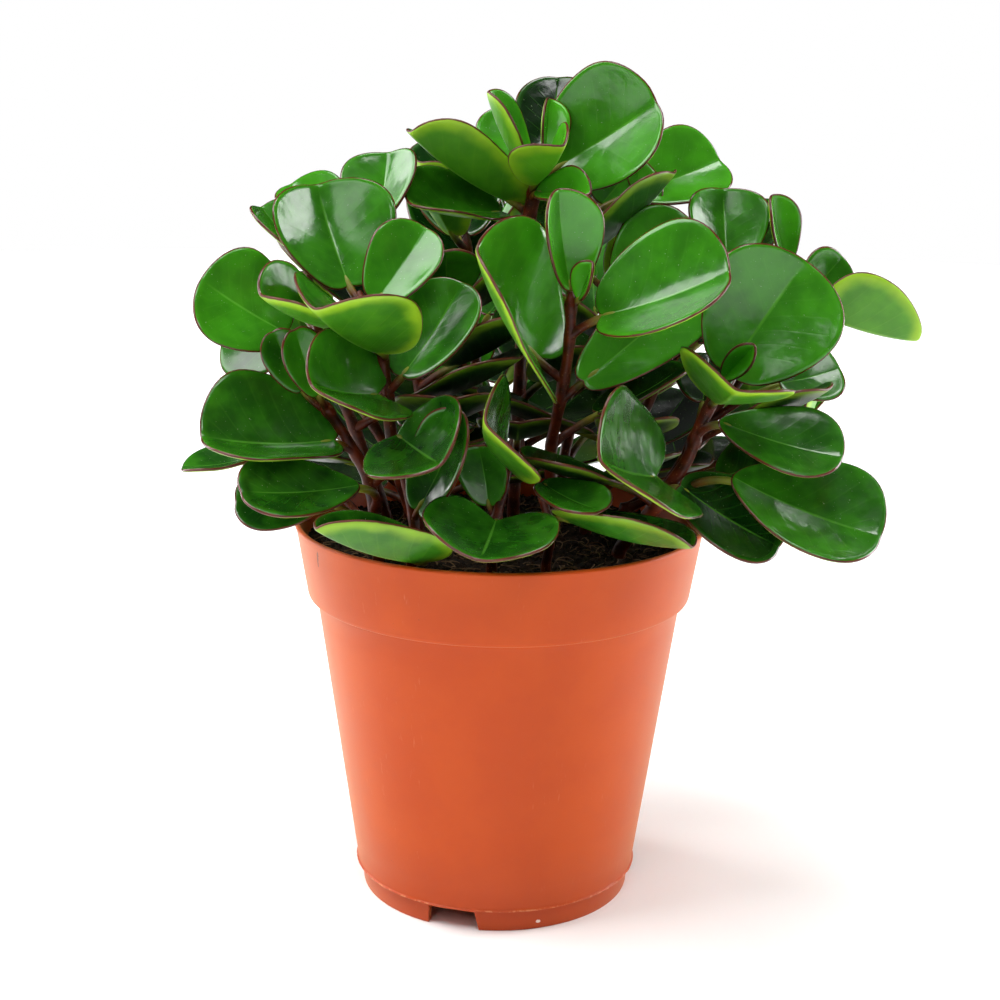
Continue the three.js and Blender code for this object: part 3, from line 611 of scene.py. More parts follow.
# %% Soil crumbs and fibres
FACES_UP = 0.6                  # how far upwards a face must point to carry crumbs
FULL_TURN = 6.28
TILT = 0.5                      # radians that a fibre may lean
FIBRE_LIFT = 0.0002             # metres that its ends stand above the soil
FIBRE_BOW = 0.0012              # and its middle


def socket_in(tree, name, kind, value):
    """A named input of a node tree"""
    made = tree.interface.new_socket(name, in_out="INPUT", socket_type=kind)
    if value is not None:
        made.default_value = value


def scatter_tree():
    """Crumbs and curved fibres on the upward faces of the mesh"""
    tree = bpy.data.node_groups.new("peat_scatter", "GeometryNodeTree")
    socket_in(tree, "Soil", "NodeSocketGeometry", None)
    socket_in(tree, "Crumbs per square metre", "NodeSocketFloat", 400000.0)
    socket_in(tree, "Crumb radius", "NodeSocketFloat", 0.0008)
    socket_in(tree, "Fibres per square metre", "NodeSocketFloat", 55000.0)
    socket_in(tree, "Fibre length", "NodeSocketFloat", 0.007)
    socket_in(tree, "Fibre radius", "NodeSocketFloat", 0.00016)
    socket_in(tree, "Middle of the top", "NodeSocketVector", (*AXIS[:2], SOIL_Z * MM))
    socket_in(tree, "Fibres within", "NodeSocketFloat", 0.050)
    socket_in(tree, "Crumb material", "NodeSocketMaterial", None)
    socket_in(tree, "Fibre material", "NodeSocketMaterial", None)
    socket_in(tree, "Seed", "NodeSocketInt", 4)
    tree.interface.new_socket("Loose peat", in_out="OUTPUT", socket_type="NodeSocketGeometry")
    given = node(tree, "NodeGroupInput").outputs
    face = node(tree, "GeometryNodeInputNormal").outputs["Normal"]
    upward_part = node(tree, "ShaderNodeSeparateXYZ", {}, {"Vector": face}).outputs["Z"]
    upper = node(tree, "FunctionNodeCompare", {"operation": "GREATER_THAN"},
                 {0: upward_part, 1: FACES_UP}).outputs["Result"]
    from_axis = node(tree, VECTORS, {"operation": "DISTANCE"}, {
        0: node(tree, "GeometryNodeInputPosition").outputs["Position"],
        1: given["Middle of the top"]}).outputs["Value"]
    inner = node(tree, "FunctionNodeCompare", {"operation": "LESS_THAN"},
                 {0: from_axis, 1: given["Fibres within"]}).outputs["Result"]
    # crumbs are small balls, squashed and turned at random
    crumb_points = node(tree, "GeometryNodeDistributePointsOnFaces", {}, {
        "Mesh": given["Soil"], "Selection": upper,
        "Density": given["Crumbs per square metre"], "Seed": given["Seed"]})
    ball = node(tree, "GeometryNodeMeshIcoSphere", {}, {
        "Radius": given["Crumb radius"], "Subdivisions": 1})
    size = node(tree, "FunctionNodeRandomValue", {"data_type": "FLOAT_VECTOR"}, {
        0: (0.35, 0.35, 0.3), 1: (1.7, 1.5, 1.1), "Seed": given["Seed"]})
    spin = node(tree, "FunctionNodeRandomValue", {"data_type": "FLOAT_VECTOR"}, {
        0: (0, 0, 0), 1: (FULL_TURN, FULL_TURN, FULL_TURN), "Seed": given["Seed"]})
    crumbs = node(tree, "GeometryNodeInstanceOnPoints", {}, {
        "Points": crumb_points.outputs["Points"], "Instance": ball.outputs["Mesh"],
        "Rotation": spin.outputs["Value"], "Scale": size.outputs["Value"]})
    crumbs = node(tree, "GeometryNodeRealizeInstances", {}, {
        "Geometry": crumbs.outputs["Instances"]})
    crumbs = node(tree, "GeometryNodeSetMaterial", {}, {
        "Geometry": crumbs.outputs["Geometry"], "Material": given["Crumb material"]})
    # fibres are thin bowed threads, lying or a little tilted
    fibre_points = node(tree, "GeometryNodeDistributePointsOnFaces", {}, {
        "Mesh": given["Soil"], "Selection": inner,
        "Density": given["Fibres per square metre"], "Seed": given["Seed"]})
    half = node(tree, MATHS, TIMES,
                {0: given["Fibre length"], 1: 0.5}).outputs[0]
    ends = [node(tree, "ShaderNodeCombineXYZ", {}, {"X": x, "Y": y, "Z": z}).outputs[0]
            for x, y, z in ((half, 0.0, FIBRE_LIFT), (0.0, half, FIBRE_BOW))]
    back = node(tree, VECTORS, {"operation": "SCALE"},
                {0: ends[0], "Scale": -1.0}).outputs[0]
    bow = node(tree, "GeometryNodeCurveQuadraticBezier", {}, {
        "Resolution": 6, "Start": back, "Middle": ends[1], "End": ends[0]})
    ring = node(tree, "GeometryNodeCurvePrimitiveCircle", {}, {
        "Resolution": 4, "Radius": given["Fibre radius"]})
    thread = node(tree, "GeometryNodeCurveToMesh", {}, {
        "Curve": bow.outputs["Curve"], "Profile Curve": ring.outputs["Curve"], "Fill Caps": True})
    swing = node(tree, "FunctionNodeRandomValue", {"data_type": "FLOAT_VECTOR"}, {
        0: (-TILT, -TILT, 0), 1: (TILT, TILT, FULL_TURN), "Seed": given["Seed"]})
    stretch = node(tree, "FunctionNodeRandomValue", {"data_type": "FLOAT_VECTOR"}, {
        0: (0.4, 0.2, 0.6), 1: (1.3, 1.6, 1.4), "Seed": given["Seed"]})
    fibres = node(tree, "GeometryNodeInstanceOnPoints", {}, {
        "Points": fibre_points.outputs["Points"], "Instance": thread.outputs["Mesh"],
        "Rotation": swing.outputs["Value"], "Scale": stretch.outputs["Value"]})
    fibres = node(tree, "GeometryNodeRealizeInstances", {}, {
        "Geometry": fibres.outputs["Instances"]})
    fibres = node(tree, "GeometryNodeSetMaterial", {}, {
        "Geometry": fibres.outputs["Geometry"], "Material": given["Fibre material"]})
    both = node(tree, "GeometryNodeJoinGeometry")
    for made in (crumbs, fibres):
        tree.links.new(made.outputs["Geometry"], both.inputs["Geometry"])
    result = node(tree, "NodeGroupOutput")
    tree.links.new(both.outputs["Geometry"], result.inputs["Loose peat"])
    return tree


def grown(piece, tree, values):
    """Runs a node tree on a piece and keeps the result as its plain mesh"""
    identifiers = {item.name: item.identifier for item in tree.interface.items_tree
                   if item.in_out == "INPUT"}
    modifier = piece.modifiers.new("grow", "NODES")
    modifier.node_group = tree
    for name, value in values.items():
        modifier[identifiers[name]] = value
    flattened(piece)
    return piece


plug = soil_plug()
loose = bpy.data.objects.new("loose_peat", plug.data.copy())
bpy.context.scene.collection.objects.link(loose)
grown(loose, scatter_tree(), {"Crumb material": peat, "Fibre material": straw})
plug.data.materials.append(peat)
for piece in (plug, loose):
    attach(piece, "root")
    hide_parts("soil")
print("peat crumbs and fibres", len(loose.data.polygons))

# %% [markdown]
# ## The plant's plan
# Each leafy stem has a foot in the soil, a way up, and leaves. A leaf is given by where
# its blade starts and ends, its width, the way its upper side faces and its form. These
# are the tables of the solids, in millimetres from the pot's axis, so that each fine leaf
# lies where its plain solid lies. The shoots at the back follow one rule instead.

# %% Leaf tables
FORMS = {
    "open": {"fold": 12, "cup": 0.05, "curl": 0.05, "lobe": 0.05, "egg": 0.25},
    "paddle": {"fold": 12, "cup": 0.04, "curl": 0.05, "lobe": 0, "egg": 0.40},
    "spoon": {"fold": 24, "cup": 0.05, "curl": 0.05, "lobe": 0.08, "egg": 0.25},
    "boat": {"fold": 29, "cup": 0.08, "curl": 0.06, "lobe": 0.10, "egg": 0.25},
    "heart": {"fold": 28, "cup": 0.04, "curl": 0.05, "lobe": 0.30, "egg": 0.15},
    "lobed": {"fold": 14, "cup": 0.06, "curl": 0.05, "lobe": 0.30, "egg": 0},
    "shell": {"fold": 42, "cup": 0.06, "curl": 0.05, "lobe": 0.20, "egg": -0.20},
    "young": {"fold": 36, "cup": 0.10, "curl": 0.05, "lobe": 0, "egg": 0.25},
    "drawn": {"fold": 38, "cup": 0.02, "curl": 0.05, "lobe": 0, "egg": -0.30},
}

# each leaf: [blade base], [blade tip], width, [azimuth and height it faces], form
SHOOTS = {
    "shoot_left": {
        "radius": 2.1,
        "path": [[-22, -18], [-28, -25, 130], [-30, -30, 142],
                 [-31, -33, 155], [-34, -32, 170], [-39, -27, 182]],
        "leaves": [
            [[-42, -24, 183], [-52, -12, 210], 38, [-70, 30], "spoon"],
            [[-34, -30, 180], [-21, -20, 199], 22, [-90, 30], "spoon"],
            [[-31, -36, 167], [-48, -60, 182], 42, [45, 62], "boat"],
            [[-42, -29, 172], [-63, -50, 184], 28, [-24, 60], "boat"],
            [[-33, -40, 156], [-49, -64, 163], 33, [-20, 42], "heart"],
            [[-27, -34, 160], [-11, -18, 184], 24, [-105, 40], "open"],
        ],
    },
    "shoot_left_back": {
        "radius": 1.9,
        "path": [[-32, -4], [-42, -7, 140], [-50, -9, 160], [-55, -6, 184]],
        "leaves": [
            [[-60, -18, 169], [-83, -22, 184], 32, [-65, 30], "open"],
            [[-55, -5, 189], [-70, 6, 202], 21, [-60, 57], "boat"],
            [[-61, -14, 163], [-80, -8, 163], 18, [-110, 20], "open"],
            [[-58, 2, 172], [-74, 20, 176], 26, [-60, 70], "open"],
        ],
        "fill": [[0.62, 340, 42], [0.54, 320, 26]],
    },
    "shoot_upper_left": {
        "radius": 1.9,
        "path": [[-17, 4], [-24, 6, 150], [-32, 5, 180], [-38, 3, 197]],
        "leaves": [
            [[-46, 0, 200], [-62, 12, 208], 22, [-90, 60], "open"],
            [[-36, 6, 199], [-34, 20, 217], 26, [-115, 40], "spoon"],
            [[-16, 6, 176], [-16, -10, 192], 20, [-80, 10], "open"],
            [[-42, 16, 184], [-52, 34, 194], 28, [-90, 70], "spoon"],
        ],
        "fill": [[0.7, 140, 42], [0.62, 320, 36], [0.46, -20, 30], [0.54, 280, 36], [0.7, 340, 42]],
    },
    "shoot_top": {
        "radius": 2.1,
        "path": [[4, 12], [5, 13, 140], [6, 14, 175], [8, 14, 203], [12, 14, 213]],
        "leaves": [
            [[15, 22, 213], [44, 12, 233], 40, [-120, 14], "spoon"],
            [[39, 30, 206], [66, 44, 215], 30, [-75, 40], "spoon"],
            [[29, 30, 202], [41, 34, 216], 26, [-85, 15], "open"],
            [[8, 12, 210], [-5, 6, 235], 16, [-15, 25], "young"],
            [[8, 10, 209], [16, -8, 221], 24, [155, 50], "young"],
            [[12, 14, 214], [13, 20, 233], 13, [-50, 12], "young"],
            [[4, 20, 203], [-27, 4, 224], 29, [50, 54], "boat"],
            [[-1, 22, 200], [-28, 4, 204], 30, [-45, 62], "spoon"],
            [[9, 10, 207], [24, -8, 208], 15, [-143, 40], "young"],
            [[5, 36, 212], [-2, 46, 230], 20, [-94, 25], "open"],
        ],
        "fill": [
            [0.46, 160, 42], [0.46, 20, 42], [0.54, 80, 36],
            [0.54, 300, 30], [0.46, 270, 30], [0.7, 60, 30],
            [0.94, 80, 30], [0.7, 340, 42],
        ],
    },
    "shoot_centre": {
        "radius": 1.9,
        "path": [[12, -12], [14, -16, 122], [14, -22, 138],
                 [16, -30, 153], [18, -36, 171], [18, -37, 184]],
        "leaves": [
            [[9, -34, 166], [-7, -56, 198], 46, [-20, 13], "heart"],
            [[18, -36, 184], [14, -38, 211], 22, [-60, 1], "young"],
            [[20, -38, 182], [23, -46, 193], 9, [-140, -14], "young"],
            [[26, -40, 178], [59, -52, 192], 39, [-130, 40], "spoon"],
            [[22, -32, 159], [62, -14, 190], 24, [-86, 26], "open"],
        ],
        "fill": [[0.62, 20, 30]],
    },
    "shoot_right": {
        "radius": 2.2,
        "path": [[34, -22], [40, -26, 118], [46, -30, 129],
                 [51, -31, 137], [54, -31, 146], [60, -30, 159]],
        "leaves": [
            [[62, -26, 161], [82, -24, 192], 40, [-93, 5], "open"],
            [[58, -34, 155], [60, -63, 163], 35, [35, 64], "spoon"],
            [[60, -31, 160], [67, -40, 171], 9, [-128, -19], "young"],
            [[59, -34, 149], [92, -42, 141], 26, [-86, 53], "paddle"],
            [[63, -36, 134], [103, -46, 120], 39, [-75, 54], "paddle"],
            [[49, -34, 131], [77, -40, 115], 28, [-68, 45], "open"],
            [[42, -42, 135], [25, -72, 146], 44, [-22, 36], "heart"],
        ],
        "fill": [[0.54, 200, 30], [0.86, 80, 24]],
    },
    "shoot_right_back": {
        "radius": 1.9,
        "path": [[26, 10], [36, 6, 130], [42, 2, 145], [50, 4, 165], [60, 6, 182]],
        "leaves": [
            [[65, 10, 187], [64, 20, 208], 27, [-80, 26], "spoon"],
            [[34, -6, 178], [52, -2, 202], 27, [-102, 30], "open"],
            [[62, 20, 176], [70, 42, 186], 28, [-90, 70], "spoon"],
        ],
        "fill": [
            [0.54, 200, 36], [0.78, 40, 42], [0.46, 60, 42],
            [0.46, 280, 30], [0.78, 200, 36], [0.54, 270, 30],
            [0.94, 60, 36],
        ],
    },
    "shoot_far_right": {
        "radius": 1.9,
        "path": [[42, 2], [52, -4, 130], [60, -6, 145], [72, -3, 160], [82, 3, 174]],
        "leaves": [
            [[90, 4, 175], [122, 8, 166], 34, [78, 51], "drawn"],
            [[86, 2, 176], [98, 8, 190], 18, [-72, 5], "open"],
            [[83, 14, 186], [77, 10, 207], 14, [-55, 1], "young"],
            [[79, -8, 155], [97, -4, 159], 22, [-90, 46], "open"],
            [[62, -12, 128], [80, -14, 136], 26, [-124, 60], "open"],
        ],
        "fill": [[0.62, 320, 30]],
    },
    "shoot_lower_left": {
        "radius": 2.0,
        "path": [[-34, -24], [-37, -22, 128], [-43, -22, 140], [-50, -26, 152]],
        "leaves": [
            [[-46, -24, 140], [-82, -36, 143], 40, [-62, 56], "boat"],
            [[-69, -8, 132], [-92, -8, 128], 20, [-136, 78], "open"],
            [[-38, -40, 131], [-69, -54, 132], 24, [-70, 57], "paddle"],
            [[-50, -34, 125], [-73, -36, 125], 20, [-90, 40], "open"],
            [[-55, -24, 154], [-63, -26, 171], 13, [-76, 5], "open"],
            [[-50, -30, 154], [-56, -35, 173], 13, [-63, 0], "open"],
        ],
        "fill": [[0.62, 0, 24]],
    },
    "shoot_front_left": {
        "radius": 1.7,
        "path": [[-24, -38], [-23, -40, 118], [-26, -39, 134], [-28, -38, 143]],
        "leaves": [
            [[-20, -50, 113], [-48, -66, 126], 27, [62, 84], "shell"],
            [[-28, -39, 145], [-15, -63, 142], 34, [-153, 52], "spoon"],
            [[-22, -42, 125], [-10, -52, 154], 20, [-122, 16], "spoon"],
        ],
    },
    "shoot_front": {
        "radius": 1.7,
        "path": [[-2, -37], [-1, -41, 122], [1, -40, 131], [2, -37, 138]],
        "leaves": [
            [[-1, -53, 125], [-5, -75, 120], 37, [-76, 72], "lobed"],
            [[1, -40, 139], [-4, -64, 154], 34, [2, 19], "boat"],
            [[-3, -40, 126], [-6, -44, 144], 15, [-104, -10], "open"],
        ],
    },
    "shoot_front_right": {
        "radius": 1.6,
        "path": [[13, -36], [14, -38, 118], [11, -39, 130]],
        "leaves": [
            [[11, -42, 133], [27, -58, 129], 18, [-90, 74], "open"],
            [[16, -40, 124], [51, -58, 120], 27, [49, 78], "spoon"],
        ],
    },
}

# foot, growing tip, azimuth of the lean, and [share of the stem, azimuth, length] to fill in
FAR_SHOOTS = {
    "shoot_back_left": [
        [-28, 24], [-62, 48, 158], 142,
        [
            [0.54, 200, 42], [0.54, 120, 42], [0.62, 60, 36],
            [0.78, 40, 30], [0.38, 140, 30],
        ],
    ],
    "shoot_back_middle": [
        [-6, 34], [-12, 50, 192], 118,
        [
            [0.54, 40, 42], [0.7, 200, 30], [0.46, 220, 30],
            [0.86, 100, 42], [0.94, 100, 42],
        ],
    ],
    "shoot_back_right": [
        [18, 30], [36, 52, 178], 50,
        [
            [0.54, 60, 42], [0.62, 200, 30], [0.46, 340, 36],
            [0.78, 300, 36], [0.7, 80, 24],
        ],
    ],
    "shoot_back_low": [
        [2, 46], [-6, 84, 140], 96,
        [[0.46, 20, 42], [0.7, 140, 42], [0.86, 80, 24]],
    ],
    "shoot_back_side": [
        [38, 22], [88, 32, 130], 2,
        [[0.54, 320, 36], [0.54, 40, 36], [0.7, 90, 36]],
    ],
}

# share of the height, azimuth from the lean, reach, rise, length, width, form
FAR_LEAVES = [
    [1.00, 10, 4, 72, 23, 15, "young"],
    [0.96, 118, 7, 54, 28, 23, "spoon"],
    [0.92, -112, 8, 50, 31, 25, "spoon"],
    [0.76, 40, 13, 32, 36, 29, "open"],
    [0.62, -44, 14, 20, 35, 28, "paddle"],
]

FILL_REACH = 13                 # from the stem out to the blade
FILL_LIFT = 5
FILL_RISE = 8                   # degrees, at the soil
FILL_RISE_PER_MM = 0.45         # more for each millimetre up
FILL_WIDTH = 0.8                # as a share of the length
ROOT_DEPTH = 12
FAR_RADIUS = 1.9                # of a stem at the back
FAR_LEAN = 1.7                  # the larger, the later a stem at the back leans out
FAR_LIFT = 0.4                  # rise of a petiole, as a share of its reach

# %% Stems as curves


def catmull_rom(points, share):
    """A centripetal Catmull-Rom curve through the points, at a share of its way"""
    points = np.asarray(points, float)
    last = len(points) - 1
    index = min(int(last * share), last - 1)
    part = last * share - index
    p1, p2 = points[index], points[index + 1]
    p0 = points[index - 1] if index > 0 else 2 * points[0] - points[1]
    p3 = points[index + 2] if index + 2 <= last else 2 * points[last] - points[last - 1]
    d0, d1, d2 = [math.sqrt(np.linalg.norm(b - a)) for a, b in ((p0, p1), (p1, p2), (p2, p3))]
    m1 = d1 * ((p1 - p0) / d0 - (p2 - p0) / (d0 + d1) + (p2 - p1) / d1)
    m2 = d1 * ((p2 - p1) / d1 - (p3 - p1) / (d1 + d2) + (p3 - p2) / d2)
    return (p1 + m1 * part + (-3 * p1 + 3 * p2 - 2 * m1 - m2) * part ** 2
            + (2 * p1 - 2 * p2 + m1 + m2) * part ** 3)


def stem_points(path):
    """A stem comes straight up out of the soil, then follows its path"""
    x, y = path[0]
    foot = [[x, y, SOIL_Z - ROOT_DEPTH], [x, y, SOIL_Z - 2], [x, y, SOIL_Z + 3]]
    return foot + [list(p) for p in path[1:]]


def leaf_at(base, azimuth, rise, length, width, form):
    """The row of a leaf that points away from its stem"""
    flat, turn = length * math.cos(math.radians(rise)), math.radians(azimuth)
    tip = [base[0] + flat * math.cos(turn), base[1] + flat * math.sin(turn),
           base[2] + length * math.sin(math.radians(rise))]
    return [base, tip, width, [azimuth + 180, 90 - rise], form]


def fill_leaf(points, share, azimuth, length):
    """A leaf lower down: the lower it grows, the flatter it lies"""
    x, y, z = catmull_rom(points, share)
    rise = FILL_RISE + FILL_RISE_PER_MM * (z - SOIL_Z)
    turn = math.radians(azimuth)
    base = [x + FILL_REACH * math.cos(turn), y + FILL_REACH * math.sin(turn), z + FILL_LIFT]
    return leaf_at(base, azimuth, rise, length, FILL_WIDTH * length, "open")


def far_shoot(foot, top, lean, fill):
    """A shoot at the back: its stem leans out more and more, with leaves all round it"""
    def way(share):
        return [foot[0] + (top[0] - foot[0]) * share ** FAR_LEAN,
                foot[1] + (top[1] - foot[1]) * share ** FAR_LEAN,
                SOIL_Z + (top[2] - SOIL_Z) * share]
    leaves = []
    for share, turn, reach, rise, length, width, form in FAR_LEAVES:
        x, y, z = way(share)
        azimuth = math.radians(lean + turn)
        base = [x + reach * math.cos(azimuth), y + reach * math.sin(azimuth), z + FAR_LIFT * reach]
        leaves.append(leaf_at(base, lean + turn, rise, length, width, form))
    return {"radius": FAR_RADIUS, "path": [foot, way(0.35), way(0.7), way(1)],
            "leaves": leaves, "fill": fill}


for name, row in FAR_SHOOTS.items():
    SHOOTS[name] = far_shoot(*row)
print("shoots", len(SHOOTS))

# %% [markdown]
# ## Blades
# A peperomia's blade is fleshy, about a millimetre thick, with a rounded margin, a midrib
# sunk in its glossy upper side and raised below, and often a tiny notch at its tip. A
# formula gives the middle surface: the two halves are folded up from the midrib, cupped,
# and curled along the length. The fine blade uses the formula of the solid, with a soft
# ripple of its own. Its lanes crowd at the midrib and at the margin, where the shape is.
# The distance to the margin is kept on each point, because the thin red-brown rim that
# the real leaf has follows it.

# %% Blade shape
BLADE_THICKNESS = 1.15
MARGIN_ROUND = 0.9              # how far in from the margin the thickness builds up
BEND = 0.06                     # soft bend along the midrib, as a share of the width
STATIONS = 30
LANES = 24
EVEN_LANES = 0.15               # the smaller, the more they crowd at midrib and margin
GROOVE = 0.22                   # depth of the midrib above
GROOVE_WIDTH = 0.55
RIB = 0.45                      # how far it stands out below
RIB_WIDTH = 0.8
RIB_FADE = 1.5                  # both fade out this near the margin
SWEEP_PEAK = 0.443              # the largest value of the lobes' sweep, which makes it 1
TIP_NOTCH = (0.0, 0.03)         # depth, as shares of the length
TIP_NOTCH_WIDTH = 0.1           # as a share of the width
RIPPLE = (0.006, 0.016)         # height, as shares of the width
RIPPLE_PACE = 9                 # radians of it from base to tip


def read_leaf(row, rng):
    """A row of the tables as a blade's own frame, sizes and chances"""
    base, tip, width, (azimuth, height), form = row
    leaf = dict(FORMS[form])
    leaf["form"], leaf["width"], leaf["base"] = form, width, np.array(base, float)
    along = np.array(tip, float) - leaf["base"]
    leaf["length"] = np.linalg.norm(along)
    leaf["along"] = along / leaf["length"]
    a, e = math.radians(azimuth), math.radians(height)
    up = np.array([math.cos(e) * math.cos(a), math.cos(e) * math.sin(a), math.sin(e)])
    leaf["up"] = unit(up - up.dot(leaf["along"]) * leaf["along"])
    leaf["side"] = np.cross(leaf["up"], leaf["along"])
    turn = np.arange(0, math.pi, 0.01)
    leaf["widest"] = np.max(np.sin(turn) * (1 - leaf["egg"] * np.cos(turn)))
    leaf["notch"] = rng.uniform(*TIP_NOTCH) if form != "young" else 0.0
    leaf["ripple"] = rng.uniform(*RIPPLE)
    leaf["phase"] = rng.uniform(0, 2 * math.pi)
    leaf["chance"] = rng.uniform()
    return leaf


def blade_frame(leaf, u, v):
    """Place in the blade's own frame: along, across and up, in millimetres"""
    turn = np.arccos(1 - 2 * u)
    half = leaf["width"] / 2 * np.sin(turn) * (1 - leaf["egg"] * np.cos(turn)) / leaf["widest"]
    sweep = np.sin(turn) * (1 - u) ** 3 / SWEEP_PEAK
    across = half * v
    bend = BEND * leaf["width"]
    fold = math.radians(leaf["fold"])
    rise = math.sin(fold) * (np.hypot(across, bend) - bend)
    rise = rise + leaf["cup"] * leaf["width"] * (2 * across / leaf["width"]) ** 2
    rise = rise - leaf["curl"] * leaf["length"] * 4 * u * (1 - u)
    rise = rise + leaf["ripple"] * leaf["width"] * v ** 2 * np.sin(
        RIPPLE_PACE * u + leaf["phase"] + 2 * np.sign(v)) * np.sin(turn)
    inward = np.cos(fold * np.minimum(1, np.abs(across) / (bend / 2)))
    near_midrib = np.exp(-(across / (TIP_NOTCH_WIDTH * leaf["width"])) ** 2)
    dent = leaf["notch"] * leaf["length"] * near_midrib * u ** 6
    along = leaf["length"] * (u - leaf["lobe"] * sweep * v * v) - dent
    return np.stack([along, across * inward, rise], -1), np.stack([along, across], -1)


def in_space(leaf, local):
    """From the blade's own frame to millimetres from the pot's axis"""
    return (leaf["base"] + local[..., :1] * leaf["along"] + local[..., 1:2] * leaf["side"]
            + local[..., 2:] * leaf["up"])


def lane_places(count):
    """From -1 to 1, crowded at the midrib and at both margins"""
    s = np.linspace(0, 1, count // 2 + 1)
    s = EVEN_LANES * s + (1 - EVEN_LANES) * s * s * (3 - 2 * s)
    return np.concatenate([-s[:0:-1], s])


def margin_distance(flat):
    """Distance of each grid point to the outline of the flat blade"""
    rim = np.concatenate([flat[:, 0], flat[::-1, -1]])
    start, end = rim, np.roll(rim, -1, axis=0)
    step = end - start
    size = np.maximum((step ** 2).sum(-1), 1e-9)
    away = flat[:, :, None, :] - start
    share = np.clip((away * step).sum(-1) / size, 0, 1)
    gap = away - share[..., None] * step
    return np.sqrt((gap ** 2).sum(-1)).min(-1)


def make_blade(leaf, stations, lanes):
    """Places, faces, which faces are upper, and the facts kept on each point"""
    u = (1 - np.cos(np.linspace(0, math.pi, stations + 1))) / 2
    grid_u, grid_v = np.meshgrid(u, lane_places(lanes), indexing="ij")
    local, flat = blade_frame(leaf, grid_u, grid_v)
    margin = margin_distance(flat)
    middle = in_space(leaf, local)
    du, dv = np.gradient(middle, axis=0), np.gradient(middle, axis=1)
    normal = np.cross(du, dv)
    normal[0, :] = normal[1, lanes // 2]
    normal[-1, :] = normal[-2, lanes // 2]
    normal = unit(normal + 1e-12 * leaf["up"])
    fill = 1 - np.clip(margin / MARGIN_ROUND, 0, 1)
    thick = BLADE_THICKNESS * np.sqrt(1 - fill ** 2)
    beside = np.abs(flat[..., 1])
    fade = np.clip(1 - grid_u, 0, 1) ** 0.6 * np.clip(margin / RIB_FADE, 0, 1)
    groove = GROOVE * np.exp(-(beside / GROOVE_WIDTH) ** 2) * fade
    rib = RIB * np.exp(-(beside / RIB_WIDTH) ** 2) * fade
    upper = middle + normal * (thick / 2 - groove)[..., None]
    under = middle - normal * (thick / 2 + rib)[..., None]
    inner = np.zeros((stations + 1, lanes + 1), bool)
    inner[1:-1, 1:-1] = True
    upper_id = np.zeros_like(inner, int)
    rim_stations = ~inner
    rim_stations[0, :] = rim_stations[-1, :] = False
    upper_id[rim_stations] = 2 + np.arange(rim_stations.sum())
    upper_id[0, :], upper_id[-1, :] = 0, 1
    under_id = upper_id.copy()
    count = 2 + rim_stations.sum()
    upper_id[inner] = count + np.arange(inner.sum())
    under_id[inner] = count + inner.sum() + np.arange(inner.sum())
    total = count + 2 * inner.sum()
    places = np.zeros((total, 3))
    facts = {key: np.zeros(total) for key in ("along", "across", "margin")}
    for ids, sheet in ((under_id, under), (upper_id, upper)):
        places[ids[inner]] = sheet[inner]
        facts["along"][ids] = grid_u
        facts["across"][ids] = grid_v
        facts["margin"][ids] = margin
    places[upper_id[rim_stations]] = middle[rim_stations]
    places[0], places[1] = middle[0, 0], middle[-1, 0]
    faces, is_upper = [], []
    for ids, flip in ((upper_id, False), (under_id, True)):
        a, b, c, d = ids[:-1, :-1], ids[1:, :-1], ids[1:, 1:], ids[:-1, 1:]
        for quad in np.stack([a, b, c, d], -1).reshape(-1, 4).tolist():
            ring = list(dict.fromkeys(quad))
            if len(ring) >= 3:
                faces.append(ring[::-1] if flip else ring)
                is_upper.append(not flip)
    return places, faces, is_upper, facts


# %% [markdown]
# ## Leaf finish
# The upper side is waxy: a smooth, clear cuticle over dark green, so it has broad white
# highlights. Old leaves are a deep bottle green and young ones a fresh green; the midrib
# and a few bowed side veins show a little paler. The underside is satin, mid green round
# the midrib and lime towards the margin, where the flesh is thin. A fine red-brown line
# runs along the margin. The facts that are kept on each point say where a point lies on
# its leaf: along from 0 to 1, across from -1 to 1, and margin in millimetres. The fourth
# is the same all over a leaf and holds its youth together with painted light and shade:
# below 0 for the painted shade inside the bush, up to about 1 for the freshest.

# %% Leaf finish
LINE_WIDTH = 0.27               # millimetres of red-brown at the margin
SIDE_VEINS = 7.5                # pairs along a leaf
VEIN_BOW = 0.34                 # how far up a side vein bows, as a share of the length


